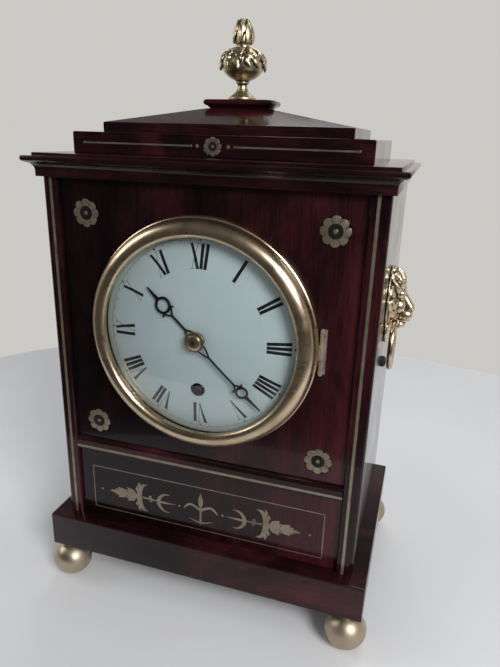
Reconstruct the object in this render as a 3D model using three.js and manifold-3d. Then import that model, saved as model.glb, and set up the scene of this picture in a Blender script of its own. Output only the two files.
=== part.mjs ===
// A mahogany bracket clock in the Regency manner, with brass mounts and a single-fusee timepiece movement.
// Millimetres. X runs left to right seen from the front, Y from front to back and Z upwards.
// The origin is the middle of the clock's footprint, on the surface that its feet stand on.
import * as THREE from "three";
import { mergeVertices } from "three/addons/utils/BufferGeometryUtils.js";
import Module from "manifold-3d";

// ---------------------------------------------------------------- driving dimensions

const clearance = 0.3; // between a turned or cut piece and its neighbour
const inlayFit = 0.1; // round a brass inlay in its recess

// Carcase. Depths in it are measured back from the face of the front stiles, and heights up from
// the top of the plinth.
const caseWidth = 290;
const caseDepth = 198;
const caseHeight = 331;
const sideThickness = 12;
const frontThickness = 14;
const stileWidth = 15;
const panelRecess = 4;
const stileEdgeEase = 0.8;
const stileBead = 3.8; // width of the rebated bead on each front corner
const stileBeadDrop = 1.6;

const stringingWidth = 2.7;
const stringingDepth = 1.2;
const stringingInset = 7.8; // from the case's side to the outer edge of the strip
const railHeight = 13;
const railBottom = 75;
const railStringingRise = 1.6; // from the rail's lower edge to its strip
const railOvolo = 4;

// Plinth and ball feet
const plinthHeight = 36;
const plinthOverhang = 13;
const plinthEase = 1.2;
const footRadius = 21.2;
const footHeight = 38.5;
const footFlatRadius = 5;
const footInsetX = 14; // from the plinth's side to a foot's centre
const footInsetY = 11.5; // from the plinth's front or back to a foot's centre

// Cornice, frieze and pyramid top
const corniceBandHeight = 7;
const corniceBandOverhang = 3;
const corniceCove = 5.2;
const corniceLipOverhang = 10.5;
const corniceLipHeight = 3;
const corniceFilletSetback = 6.3;
const corniceFilletHeight = 3.9;
const friezeHeight = 17.4;
const friezeWidth = 255;
const friezeSetback = 24.5; // behind the face of the stiles
const friezeBackSetback = 30.1; // in front of the case's back
const pyramidStep = 18.6; // from the frieze's edge to the pyramid's base on every side
const pyramidBaseHeight = 8.4;
const pyramidRise = 13.8;
const capWidth = 63.6;
const capDepth = 30;
const capHeight = 5;
const capNeckHeight = 2.6;
const capNeckInset = 2.4;
const finialHeight = 65;
const finialFootRadius = 12.2;
const finialStemRadius = 4.2;
const finialBowlRadius = 21;
const finialBudRadius = 9.6;

// Inlaid rosettes
const rosetteRadius = 12;
const rosetteEyeRadius = 6.2;
const rosetteThickness = 1;
const rosetteLobes = 8;
const rosetteSideInset = 24; // from the dial panel's sides, top and bottom to the rosettes' centres
const rosetteTopInset = 28.6;
const rosetteBottomInset = 19;
const friezeRosetteRadius = 7.4;
const friezeRosetteEyeRadius = 3;

// Dial and bezel, round the axis of the hands
const dialBelowMiddle = 2.7; // from the middle of the dial panel down to the hands' axis
const dialRadius = 89;
const dialThickness = 1.6;
const dialSkirt = 3.4; // depth of the turned-down rim
const dialDome = 9;
const dialCentreHole = 5;
const dialFootRadius = 2.5;
const dialFootCircle = 66;
const windingHoleRadius = 5.6;
const windingDrop = 45; // from the hands' axis down to the winding square
const panelOpeningRadius = 74;
const bezelRadius = 100.7;
const bezelSightRadius = 84.8;
const bezelProjection = 13.8; // in front of the stiles
const bezelCavityRadius = 91;
const bezelOvoloWidth = 7.4;
const bezelFillet = 2.2;
const bezelFlange = 3.1; // from the stiles' face to the foot of the ovolo
const glassThickness = 1.6;
const glassDome = 14;
const glassRimRadius = 87.6;
const hingeLength = 38;
const hingeKnuckleRadius = 1.9;
const hingeMiddleLength = 13;
const hingePinRadius = 0.8;
const hingeLeafThickness = 1;

// Hands
const handThickness = 1;
const minuteHandLength = 79.6;
const minuteRingAt = 57.5;
const minuteRingRadius = 5.6;
const hourHandLength = 60.6;
const hourRingAt = 40.2;
const hourRingRadius = 7.4;
const minuteBossRadius = 6.4;
const hourBossRadius = 7.6;
const handRingWidth = 1.7;
const handStemWidth = 1.5;
const handSpacing = 1.3; // dial to hour hand, and hour hand to minute hand
const colletRadius = 8.2;
const colletHeight = 3;
const shownHour = 10;
const shownMinute = 22.6;

// Side handles
const handleSetback = 82; // from the face of the stiles to the middle of the mask
const maskDrop = 95.5; // from the case's top to the middle of the mask
const maskHalfWidth = 27;
const maskHalfHeight = 30.5;
const maskProjection = 23.4;
const maskPlateThickness = 3.4;
const muzzleHalfWidth = 9.4;
const ringMeanRadius = 21.5;
const ringWireRadius = 2.5;
const ringPivotOut = 7.5; // from the flank to the ring's plane
const ringPivotDrop = 20.5; // from the middle of the mask
const ringTunnelRadius = 4.3;
const studRadius = 5;
const studHeight = 4;
const studBelowPivot = 39;

// Movement, round the axis of the hands
const plateWidth = 140;
const plateAbove = 68;
const plateBelow = 92;
const plateThickness = 3;
const frontPlateSetback = 20;
const pillarLength = 60;
const pillarRadius = 4.5;
const pillarInset = 8;
const pivotRadius = 1.3;
const arborRadius = 2.2;
const trainPivotRadius = 0.7; // of the third and escape arbors
const trainArborRadius = 1.1;
const heavyArborRadius = 3;
const greatTeeth = 96;
const centrePinionLeaves = 8;
const centreTeeth = 84;
const thirdPinionLeaves = 7;
const thirdTeeth = 78;
const escapePinionLeaves = 7;
const escapeTeeth = 32;
const centreModule = 0.62;
const thirdModule = 0.56;
const motionTeeth = 36; // cannon wheel and minute wheel alike
const motionModule = 0.8;
const minutePinionLeaves = 6;
const hourTeeth = 72;
const wheelThickness = 1.6;
const greatWheelThickness = 3;
const thirdWheelAngle = 135; // degrees from +X seen from the front, centre arbor to third arbor
const minuteWheelAngle = -20;
const escapeWheelRadius = 16;
const escapeToothDepth = 3.2;
const palletArborRise = 22.6; // over the escape arbor
const palletSweepGap = 1.6; // from the wheel's tips to the pallets at rest
const palletSpread = 40; // degrees to each side of the upright, at the escape arbor
const barrelRadius = 20;
const barrelOffsetX = -46;
const barrelOffsetZ = -46;
const barrelLength = 34;
const fuseeSmallRadius = 10;
const fuseeLargeRadius = 19.5;
const fuseeLength = 32;
const windingSquare = 5;
const lineRadius = 0.8;
const cannonPipeRadius = 2.9;
const hourPipeRadius = 4.2;
const pipeWall = 1;
const pendulumLength = 176; // suspension point to the middle of the bob
const bobRadius = 23;
const bobThickness = 10;
const pendulumRodRadius = 1.6;
const pendulumSetback = 106;
const crutchLength = 50;
const cockStandoff = 14;
const seatboardThickness = 14;
const seatboardDepth = 76;

// Rear door
const doorThickness = 14;
const doorStile = 26;
const doorGap = 0.6;
const doorGlassThickness = 2.4;
const doorHingeRadius = 3.2;
const doorHingeLength = 32;
const doorHingeInset = 45; // from the top or bottom of the door to the middle of a hinge
const doorKnobRadius = 7;

// ---------------------------------------------------------------- derived places

const caseHalf = caseWidth / 2;
const openingHalf = caseHalf - stileWidth;
const railTop = railBottom + railHeight;
const dialCentreHeight = (railTop + caseHeight) / 2 - dialBelowMiddle;
const maskHeight = caseHeight - maskDrop;
const caseFront = -(caseDepth - plinthOverhang) / 2; // puts the footprint's middle at Y = 0
const plinthTop = footHeight + plinthHeight;
const friezeBack = caseDepth - friezeBackSetback;
const finialAxisY = (friezeSetback + friezeBack) / 2;
const dialFrontY = -dialDome; // the dial's middle; its dome starts level with the stiles' face
const hourHandY = dialFrontY - handSpacing - handThickness;
const minuteHandY = hourHandY - handSpacing - handThickness;
const frontPlateBack = frontPlateSetback + plateThickness;
const backPlateFront = frontPlateBack + pillarLength;
const backPlateBack = backPlateFront + plateThickness;
const panelBack = frontThickness;

// ---------------------------------------------------------------- materials

function material(color, roughness, metalness) {
  return new THREE.MeshStandardMaterial({ color, roughness, metalness });
}
const mahogany = material(0x43161a, 0.22, 0);
const secondaryWood = material(0x5c3a26, 0.6, 0);
const brass = material(0xb8a072, 0.28, 1);
const inlayBrass = material(0x8d8064, 0.4, 1);
const movementBrass = material(0xb59a58, 0.35, 1);
const steel = material(0x8b8d90, 0.3, 1);
const bluedSteel = material(0x14171f, 0.35, 1);
const whiteEnamel = material(0xa9b4b6, 0.25, 0);
const darkIron = material(0x2a2c2a, 0.5, 0.6);
const gutString = material(0xb89a62, 0.7, 0);
const glass = new THREE.MeshStandardMaterial({
  color: 0xdfe8e6,
  roughness: 0.05,
  metalness: 0,
  transparent: true,
  opacity: 0.25,
});

// ---------------------------------------------------------------- shape tools

const wasm = await Module();
wasm.setup();

function solidOf(geometry) {
  const bare = new THREE.BufferGeometry();
  bare.setAttribute("position", geometry.getAttribute("position"));
  if (geometry.index) bare.setIndex(geometry.index);
  const merged = mergeVertices(bare, 1e-4);
  return new wasm.Manifold(
    new wasm.Mesh({
      numProp: 3,
      vertProperties: new Float32Array(merged.attributes.position.array),
      triVerts: new Uint32Array(merged.index.array),
    }),
  );
}

function geometryOf(solid) {
  const mesh = solid.getMesh();
  const geometry = new THREE.BufferGeometry();
  geometry.setAttribute("position", new THREE.BufferAttribute(mesh.vertProperties, 3));
  geometry.setIndex(new THREE.BufferAttribute(mesh.triVerts, 1));
  geometry.computeVertexNormals();
  return geometry;
}

function join(...geometries) {
  return geometryOf(geometries.map(solidOf).reduce((whole, next) => whole.add(next)));
}

function cut(geometry, ...tools) {
  return geometryOf(tools.map(solidOf).reduce((whole, tool) => whole.subtract(tool), solidOf(geometry)));
}

// A box given by its two corners.
function block([x0, y0, z0], [x1, y1, z1]) {
  const box = new THREE.BoxGeometry(x1 - x0, y1 - y0, z1 - z0);
  return box.translate((x0 + x1) / 2, (y0 + y1) / 2, (z0 + z1) / 2);
}

// A solid of revolution about Y from [radius, y] points; a profile that leaves the axis closes on itself.
function turned(profile, segments) {
  const points = profile.map(([r, y]) => new THREE.Vector2(r, y));
  if (points[0].x > 0) points.push(points[0].clone());
  if (THREE.ShapeUtils.area(points) < 0) points.reverse();
  return new THREE.LatheGeometry(points, segments);
}

// The same about Z, from [radius, z] points.
function turnedUpright(profile, segments) {
  return turned(profile, segments).rotateX(Math.PI / 2);
}

// A rod or tube along Y from front to back.
function rod(radius, front, back, segments = 12, bore = 0) {
  const outer = [
    [bore, front],
    [radius, front],
    [radius, back],
    [bore, back],
  ];
  return turned(outer, segments);
}

function shapeOf(points, holes = []) {
  const shape = new THREE.Shape(points.map(([a, b]) => new THREE.Vector2(a, b)));
  shape.holes = holes.map((hole) => new THREE.Path(hole.map(([a, b]) => new THREE.Vector2(a, b))));
  return shape;
}

function extruded(points, holes, depth) {
  const options = { depth, bevelEnabled: false, steps: 1 };
  return new THREE.ExtrudeGeometry(shapeOf(points, holes), options);
}

// An outline in [x, z], seen from the front, made into a slab from one depth to another.
function slab(points, front, back, holes = []) {
  return extruded(points, holes, back - front)
    .rotateX(Math.PI / 2)
    .translate(0, back, 0);
}

// An outline in [x, y], seen from below, raised from one height to another.
function column(points, bottom, top) {
  return extruded(points, [], top - bottom).translate(0, 0, bottom);
}

// An outline in [y, z], run along X.
function beam(points, left, right) {
  const turn = new THREE.Matrix4().makeBasis(
    new THREE.Vector3(0, 1, 0),
    new THREE.Vector3(0, 0, 1),
    new THREE.Vector3(1, 0, 0),
  );
  return extruded(points, [], right - left).applyMatrix4(turn).translate(left, 0, 0);
}

function circle(x, z, radius, count) {
  return Array.from({ length: count }, (_, i) => {
    const angle = (2 * Math.PI * i) / count;
    return [x + radius * Math.cos(angle), z + radius * Math.sin(angle)];
  });
}

function rectangle(x0, x1, z0, z1) {
  return [
    [x0, z0],
    [x1, z0],
    [x1, z1],
    [x0, z1],
  ];
}

// Points on an arc about a centre, from one angle to another in degrees.
function arc(centreA, centreB, radius, from, to, steps) {
  return Array.from({ length: steps + 1 }, (_, i) => {
    const angle = THREE.MathUtils.degToRad(from + ((to - from) * i) / steps);
    return [centreA + radius * Math.cos(angle), centreB + radius * Math.sin(angle)];
  });
}

// A rectangular block whose edge follows a moulding. Each level is [height, halfWidth, front, back].
function moulded(levels, cornerChamfer = 0.5) {
  const c = cornerChamfer;
  const positions = [];
  for (const [z, half, front, back] of levels) {
    for (const [x, y] of [
      [-half + c, front],
      [half - c, front],
      [half, front + c],
      [half, back - c],
      [half - c, back],
      [-half + c, back],
      [-half, back - c],
      [-half, front + c],
    ])
      positions.push(x, y, z);
  }
  const sides = 8;
  const triangles = [];
  for (let level = 0; level + 1 < levels.length; level++)
    for (let i = 0; i < sides; i++) {
      const a = level * sides + i;
      const b = level * sides + ((i + 1) % sides);
      triangles.push(a, b, b + sides, a, b + sides, a + sides);
    }
  const top = (levels.length - 1) * sides;
  for (let i = 1; i + 1 < sides; i++) triangles.push(0, i + 1, i, top, top + i, top + i + 1);
  const geometry = new THREE.BufferGeometry();
  geometry.setAttribute("position", new THREE.Float32BufferAttribute(positions, 3));
  geometry.setIndex(triangles);
  geometry.computeVertexNormals();
  return geometry;
}

// An ellipsoid given by its centre and three radii.
function ellipsoid([x, y, z], [rx, ry, rz], around = 12, along = 8) {
  return new THREE.SphereGeometry(1, around, along).scale(rx, ry, rz).translate(x, y, z);
}

// ---------------------------------------------------------------- the assembly

const clock = new THREE.Group();
clock.name = "bracket_clock";
const carcase = new THREE.Group(); // origin on the plinth's top, under the middle of the stiles' face
carcase.position.set(0, caseFront, plinthTop);
clock.add(carcase);
const works = new THREE.Group(); // its origin is on the hands' axis, level with the stiles' face
works.position.set(0, 0, dialCentreHeight);
carcase.add(works);

function add(parent, name, geometry, finish, position = [0, 0, 0]) {
  const mesh = new THREE.Mesh(geometry, finish);
  mesh.name = name;
  mesh.position.set(...position);
  parent.add(mesh);
  return mesh;
}

// ---------------------------------------------------------------- plinth and feet

function plinth() {
  const level = (z, inset) => [
    z,
    caseHalf + plinthOverhang - inset,
    inset - plinthOverhang,
    caseDepth - inset * 0.5,
  ];
  return moulded([
    level(-plinthHeight, plinthEase * 0.6),
    level(-plinthHeight + plinthEase * 0.6, 0),
    level(-plinthEase, 0),
    level(-plinthEase * 0.3, plinthEase * 0.3),
    level(0, plinthEase),
  ]);
}

function ballFoot() {
  const centre = Math.sqrt(footRadius ** 2 - footFlatRadius ** 2);
  const top = footHeight - clearance;
  const start = THREE.MathUtils.radToDeg(Math.asin(-centre / footRadius));
  const end = THREE.MathUtils.radToDeg(Math.asin((top - centre) / footRadius));
  return turnedUpright([[0, 0], ...arc(0, centre, footRadius, start, end, 8), [0, top]], 16);
}

add(carcase, "plinth", plinth(), mahogany);
const footX = caseHalf + plinthOverhang - footInsetX;
const footPlaces = {
  front_left: [-footX, footInsetY - plinthOverhang],
  front_right: [footX, footInsetY - plinthOverhang],
  rear_left: [-footX, caseDepth - footInsetY],
  rear_right: [footX, caseDepth - footInsetY],
};
for (const [place, [x, y]] of Object.entries(footPlaces))
  add(carcase, "ball_foot_" + place, ballFoot(), brass, [x, y, -plinthTop]);

// ---------------------------------------------------------------- carcase

function cornerStile() {
  const inner = openingHalf;
  const outer = caseHalf;
  const stringOut = outer - stringingInset;
  const stringIn = stringOut - stringingWidth;
  const beadStart = outer - stileBead;
  const beadRadius = stileBead - 0.4;
  return column(
    [
      [inner, frontThickness],
      [inner, stileEdgeEase],
      [inner + stileEdgeEase, 0],
      [stringIn, 0],
      [stringIn, stringingDepth],
      [stringOut, stringingDepth],
      [stringOut, 0],
      [beadStart, 0],
      [beadStart + 0.2, stileBeadDrop],
      ...arc(outer - beadRadius, stileBeadDrop + beadRadius, beadRadius, 270, 360, 4),
      [outer, frontThickness],
    ],
    0,
    caseHeight,
  );
}

function stileStringing() {
  const outer = caseHalf - stringingInset - inlayFit;
  const inner = outer - stringingWidth + 2 * inlayFit;
  return block([inner, -inlayFit, 0], [outer, stringingDepth - inlayFit, caseHeight]);
}

for (const [side, sign] of [
  ["left", -1],
  ["right", 1],
]) {
  const half = new THREE.Group();
  half.scale.x = sign; // the left half mirrors the right
  carcase.add(half);
  add(
    half,
    "side_board_" + side,
    block([caseHalf - sideThickness, frontThickness, 0], [caseHalf, caseDepth, caseHeight]),
    mahogany,
  );
  add(half, "corner_stile_" + side, cornerStile(), mahogany);
  add(half, "stile_stringing_" + side, stileStringing(), inlayBrass);
}

function frontRail() {
  const slot = railBottom + railStringingRise;
  return beam(
    [
      [frontThickness, railBottom],
      [frontThickness, railTop],
      [panelRecess, railTop],
      ...arc(panelRecess, railTop - railOvolo, railOvolo, 90, 180, 4),
      [0, slot + stringingWidth],
      [stringingDepth, slot + stringingWidth],
      [stringingDepth, slot],
      [0, slot],
      [0, railBottom],
    ],
    -openingHalf + clearance,
    openingHalf - clearance,
  );
}

function railStringing() {
  const bottom = railBottom + railStringingRise + inlayFit;
  const top = bottom + stringingWidth - 2 * inlayFit;
  const half = openingHalf - clearance;
  return block([-half, -inlayFit, bottom], [half, stringingDepth - inlayFit, top]);
}

add(carcase, "front_rail", frontRail(), mahogany);
add(carcase, "rail_stringing", railStringing(), inlayBrass);

// A flower with rounded petals and a round eye, as [x, z] points.
function rosetteOutline(x, z, radius) {
  const perLobe = 3;
  const count = rosetteLobes * perLobe;
  return Array.from({ length: count }, (_, i) => {
    const angle = (2 * Math.PI * i) / count;
    const r = i % perLobe === 0 ? radius * 0.84 : radius;
    return [x + r * Math.cos(angle), z + r * Math.sin(angle)];
  });
}

function rosette(radius, eyeRadius, face) {
  const front = face - inlayFit;
  return slab(rosetteOutline(0, 0, radius), front, front + rosetteThickness, [circle(0, 0, eyeRadius, 12)]);
}

function rosetteRecess(x, z, radius, face) {
  const grown = radius + inlayFit * 1.5;
  return slab(rosetteOutline(x, z, grown), face - 1, face + rosetteThickness);
}

const rosetteX = openingHalf - rosetteSideInset;
const rosetteTop = caseHeight - rosetteTopInset;
const rosetteBottom = railTop + rosetteBottomInset;
const cornerRosettes = {
  upper_left: [-rosetteX, rosetteTop],
  upper_right: [rosetteX, rosetteTop],
  lower_left: [-rosetteX, rosetteBottom],
  lower_right: [rosetteX, rosetteBottom],
};

function dialPanel() {
  const half = openingHalf - clearance;
  const outline = rectangle(-half, half, railTop + clearance, caseHeight - clearance);
  const opening = circle(0, dialCentreHeight, panelOpeningRadius, 32);
  const places = Object.values(cornerRosettes);
  const recesses = places.map(([x, z]) => rosetteRecess(x, z, rosetteRadius, panelRecess));
  return cut(slab(outline, panelRecess, panelBack, [opening]), ...recesses);
}

add(carcase, "dial_panel", dialPanel(), mahogany);
for (const [place, [x, z]] of Object.entries(cornerRosettes)) {
  const flower = rosette(rosetteRadius, rosetteEyeRadius, panelRecess);
  add(carcase, "rosette_" + place, flower, inlayBrass, [x, 0, z]);
}
add(
  carcase,
  "lower_panel",
  block(
    [-openingHalf + clearance, panelRecess, clearance],
    [openingHalf - clearance, panelBack, railBottom - clearance],
  ),
  mahogany,
);

// ---------------------------------------------------------------- cornice, frieze, pyramid and finial

function cornice() {
  const level = (z, overhang) => [caseHeight + z, caseHalf + overhang, -overhang, caseDepth];
  const coveFoot = corniceBandHeight;
  const coveTop = coveFoot + corniceCove;
  const coveOut = corniceBandOverhang + 0.8 + corniceCove;
  const lipTop = coveTop + corniceLipHeight;
  const filletOverhang = corniceLipOverhang - corniceFilletSetback;
  const cove = arc(coveOut, coveFoot, corniceCove, 180, 90, 4).map(([overhang, z]) => level(z, overhang));
  return moulded([
    level(0, corniceBandOverhang),
    level(coveFoot - 0.4, corniceBandOverhang),
    ...cove,
    level(coveTop + 0.3, corniceLipOverhang - 0.4),
    level(coveTop + corniceLipHeight / 2, corniceLipOverhang),
    level(lipTop - 0.3, corniceLipOverhang - 0.3),
    level(lipTop, corniceLipOverhang - 0.9),
    level(lipTop + 0.01, filletOverhang + 0.3),
    level(lipTop + corniceFilletHeight - 0.8, filletOverhang),
    level(lipTop + corniceFilletHeight, filletOverhang - 0.8),
  ]);
}

const friezeBottom =
  caseHeight + corniceBandHeight + corniceCove + corniceLipHeight + corniceFilletHeight;
const friezeTop = friezeBottom + friezeHeight;
const pyramidTopHeight = friezeTop + pyramidBaseHeight + pyramidRise;
const capTop = pyramidTopHeight + capNeckHeight + capHeight;
const ease = 0.8;

function friezeBlock() {
  const level = (z, inset) => [z, friezeWidth / 2 - inset, friezeSetback + inset, friezeBack - inset];
  const whole = moulded([
    level(friezeBottom, 0),
    level(friezeTop - ease, 0),
    level(friezeTop, ease),
  ]);
  const middle = (friezeBottom + friezeTop) / 2;
  return cut(whole, rosetteRecess(0, middle, friezeRosetteRadius, friezeSetback));
}

function pyramid() {
  const half = friezeWidth / 2 - pyramidStep;
  const front = friezeSetback + pyramidStep;
  const back = friezeBack - pyramidStep;
  const neckHalf = capWidth / 2 - capNeckInset;
  const neckDepth = capDepth / 2 - capNeckInset;
  return moulded([
    [friezeTop, half, front, back],
    [friezeTop + pyramidBaseHeight - ease / 2, half, front, back],
    [friezeTop + pyramidBaseHeight, half - ease, front + ease, back - ease],
    [pyramidTopHeight, neckHalf, finialAxisY - neckDepth, finialAxisY + neckDepth],
  ]);
}

function capPlate() {
  const level = (z, inset) => [
    pyramidTopHeight + z,
    capWidth / 2 - inset,
    finialAxisY - capDepth / 2 + inset,
    finialAxisY + capDepth / 2 - inset,
  ];
  const whole = capNeckHeight + capHeight;
  return moulded([
    level(0, capNeckInset),
    level(capNeckHeight * 0.6, capNeckInset),
    level(capNeckHeight, capNeckInset * 0.55),
    level(capNeckHeight + 1.2, ease / 2),
    level(capNeckHeight + 2, 0),
    level(whole - 1, 0),
    level(whole, 1),
  ]);
}

// Foot, stem with a collar, bowl with a swelling shoulder, neck and bud, as shares of the whole height.
function finial() {
  const at = (share) => share * finialHeight;
  return turnedUpright(
    [
      [0, 0],
      [finialFootRadius, 0],
      [finialFootRadius, at(0.035)],
      [finialFootRadius * 0.82, at(0.065)],
      [finialStemRadius * 1.25, at(0.115)],
      [finialStemRadius, at(0.17)],
      [finialStemRadius * 1.05, at(0.2)],
      [finialStemRadius * 1.4, at(0.212)],
      [finialStemRadius * 1.15, at(0.23)],
      [finialBowlRadius * 0.52, at(0.275)],
      [finialBowlRadius * 0.8, at(0.345)],
      [finialBowlRadius * 0.95, at(0.42)],
      [finialBowlRadius, at(0.48)],
      [finialBowlRadius * 0.96, at(0.55)],
      [finialBowlRadius * 0.72, at(0.605)],
      [finialStemRadius * 1.7, at(0.63)],
      [finialStemRadius * 1.3, at(0.66)],
      [finialStemRadius * 1.3, at(0.7)],
      [finialBudRadius * 0.85, at(0.715)],
      [finialBudRadius, at(0.775)],
      [finialBudRadius * 0.92, at(0.85)],
      [finialBudRadius * 0.68, at(0.93)],
      [finialBudRadius * 0.35, at(0.985)],
      [0, finialHeight],
    ],
    16,
  );
}

add(carcase, "cornice", cornice(), mahogany);
add(carcase, "frieze_block", friezeBlock(), mahogany);
add(
  carcase,
  "rosette_frieze",
  rosette(friezeRosetteRadius, friezeRosetteEyeRadius, friezeSetback),
  inlayBrass,
  [0, 0, (friezeBottom + friezeTop) / 2],
);
add(carcase, "pyramid_top", pyramid(), mahogany);
add(carcase, "cap_plate", capPlate(), mahogany);
add(carcase, "finial", finial(), brass, [0, finialAxisY, capTop]);

// ---------------------------------------------------------------- lion masks and ring handles

// Made for the right flank: x stands out from the side, y runs back and z up from the mask's middle.
// Places and radii of its features are shares of the mask's projection, half width and half height.
function maskFeature(place, radii, around, along) {
  const size = [maskProjection, maskHalfWidth, maskHalfHeight];
  const scaled = (shares) => shares.map((share, axis) => share * size[axis]);
  return ellipsoid(scaled(place), scaled(radii), around, along);
}

function lionMask() {
  const locks = 10;
  const outlineSteps = 24;
  const outline = Array.from({ length: outlineSteps }, (_, i) => {
    const angle = (2 * Math.PI * i) / outlineSteps;
    const swell = 0.975 - 0.025 * Math.cos(locks * angle);
    return [maskHalfWidth * swell * Math.cos(angle), maskHalfHeight * swell * Math.sin(angle)];
  });
  const plate = beam(outline, 0, maskPlateThickness);
  const muzzleWidth = muzzleHalfWidth / maskHalfWidth;
  const face = maskFeature([0.17, 0, 0], [0.56, 0.67, 0.72], 12, 6);
  const muzzle = maskFeature([0.51, 0, -0.574], [0.49, muzzleWidth, 0.354], 10, 6);
  const nose = maskFeature([0.58, 0, -0.1], [0.35, 0.19, 0.28], 8, 6);
  const brows = [-1, 1].map((side) => maskFeature([0.34, side * 0.28, 0.56], [0.25, 0.26, 0.164], 8, 6));
  const mane = Array.from({ length: locks }, (_, i) => {
    const angle = (2 * Math.PI * (i + 0.5)) / locks;
    const height = Math.sin(angle) < -0.25 ? 0.04 : 0.14; // the lower locks lie flat behind the ring
    return maskFeature(
      [0.137, 0.78 * Math.cos(angle), 0.8 * Math.sin(angle)],
      [height, 0.207, 0.184],
      6,
      4,
    );
  });
  const far = 2 * maskHalfHeight;
  const behindFlank = block([-far, -far, -far], [0, far, far]);
  const tunnel = rod(ringTunnelRadius, -far, far, 16).translate(ringPivotOut, 0, -ringPivotDrop);
  return cut(join(plate, face, muzzle, nose, ...brows, ...mane), behindFlank, tunnel);
}

// The ring hangs from the tunnel behind the muzzle; half its arc's rise in there sits above the pivot.
const ringRise = ringMeanRadius - Math.sqrt(ringMeanRadius ** 2 - muzzleHalfWidth ** 2);
const ringDrop = ringMeanRadius - ringRise / 2; // pivot to the ring's centre

function handleRing() {
  return new THREE.TorusGeometry(ringMeanRadius, ringWireRadius, 8, 24).rotateY(Math.PI / 2);
}

function bufferStud() {
  return turned(
    [
      [0, 0],
      [studRadius, 0],
      [studRadius, studHeight * 0.45],
      [studRadius * 0.75, studHeight * 0.85],
      [0, studHeight],
    ],
    16,
  ).rotateZ(-Math.PI / 2);
}

for (const [side, sign] of [
  ["left", -1],
  ["right", 1],
]) {
  const handle = new THREE.Group();
  handle.scale.x = sign;
  handle.position.set(sign * (caseHalf + clearance / 2), handleSetback, maskHeight);
  carcase.add(handle);
  add(handle, "lion_mask_" + side, lionMask(), brass);
  add(handle, "handle_ring_" + side, handleRing(), brass, [ringPivotOut, 0, -ringPivotDrop - ringDrop]);
  add(handle, "buffer_stud_" + side, bufferStud(), darkIron, [0, 0, -ringPivotDrop - studBelowPivot]);
}

// ---------------------------------------------------------------- dial, bezel and glass

// How far the domed dial falls back at a distance from its middle; the hands are bent to match.
function dialFall(r) {
  return dialDome * (r / bezelSightRadius) ** 2;
}

function dial() {
  const steps = 4;
  const domeEnd = dialRadius - 1;
  const front = Array.from({ length: steps + 1 }, (_, i) => {
    const r = (domeEnd * i) / steps;
    return [r, dialFrontY + dialFall(r)];
  });
  const rimBack = panelRecess - clearance / 3;
  const back = front
    .slice(0, -1)
    .reverse()
    .map(([r, y]) => [r, y + dialThickness]);
  const shell = turned(
    [
      ...front,
      [dialRadius, front[steps][1] + 0.8],
      [dialRadius, rimBack],
      [dialRadius - dialThickness, rimBack],
      [dialRadius - dialThickness, rimBack - dialSkirt / 2],
      ...back,
    ],
    36,
  );
  const feet = dialFeet.map(([x, z]) => {
    const start = dialFrontY + dialFall(dialFootCircle) + dialThickness / 2;
    return rod(dialFootRadius, start, frontPlateBack + 4, 8).translate(x, 0, z);
  });
  return cut(
    join(shell, ...feet),
    rod(dialCentreHole, -30, 10, 20),
    rod(windingHoleRadius, -30, 10, 20).translate(0, 0, -windingDrop),
  );
}

const dialFeet = [45, 135, 270].map((degrees) => {
  const angle = THREE.MathUtils.degToRad(degrees);
  return [dialFootCircle * Math.cos(angle), dialFootCircle * Math.sin(angle)];
});

const bezelBack = panelRecess - clearance;
const glassSeat = -8.7; // face of the rebate that the glass lies against

// A flange on the case, an ovolo that rises from it, and a hollow inside that falls to the glass.
function bezel() {
  const crownRadius = bezelRadius - bezelOvoloWidth - bezelFillet + 0.1;
  const ovoloRise = bezelProjection - bezelFlange - bezelFillet / 2;
  const ovolo = arc(0, 0, 1, 0, 88, 3).map(([out, rise]) => [
    crownRadius + out * bezelOvoloWidth,
    ovoloRise - bezelProjection - rise * ovoloRise,
  ]);
  return turned(
    [
      [bezelCavityRadius, bezelBack],
      [bezelRadius, bezelBack],
      [bezelRadius, -bezelFlange + 0.9],
      [bezelRadius - bezelFillet * 0.4, -bezelFlange - 0.1],
      [bezelRadius - bezelFillet + 0.1, -bezelFlange - 0.3],
      ...ovolo,
      [bezelSightRadius + 3.2, -bezelProjection + 0.8],
      [bezelSightRadius + 0.8, -bezelProjection + 3.2],
      [bezelSightRadius, -bezelProjection + 4],
      [bezelSightRadius, glassSeat],
      [glassRimRadius + clearance, glassSeat],
      [glassRimRadius + clearance, -3],
      [bezelCavityRadius, -3],
    ],
    40,
  );
}

function bezelGlass() {
  const rimFront = glassSeat + clearance / 2;
  const domeRadius = bezelSightRadius - clearance;
  const steps = 4;
  const dome = (shift) =>
    Array.from({ length: steps + 1 }, (_, i) => {
      const r = (domeRadius * i) / steps;
      return [r, rimFront + shift - glassDome * (1 - (r / domeRadius) ** 2)];
    });
  return turned(
    [
      ...dome(0),
      [glassRimRadius, rimFront],
      [glassRimRadius, rimFront + glassThickness],
      ...dome(glassThickness).reverse(),
    ],
    36,
  );
}

const hingeAxisX = bezelRadius + hingeKnuckleRadius + 0.2;
const hingeAxisY = panelRecess - hingeLeafThickness - hingeKnuckleRadius - 0.1;

function knuckle(radius, bottom, top, segments = 12, bore = 0) {
  return turnedUpright(
    [
      [bore, bottom],
      [radius, bottom],
      [radius, top],
      [bore, top],
    ],
    segments,
  ).translate(hingeAxisX, hingeAxisY, 0);
}

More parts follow.
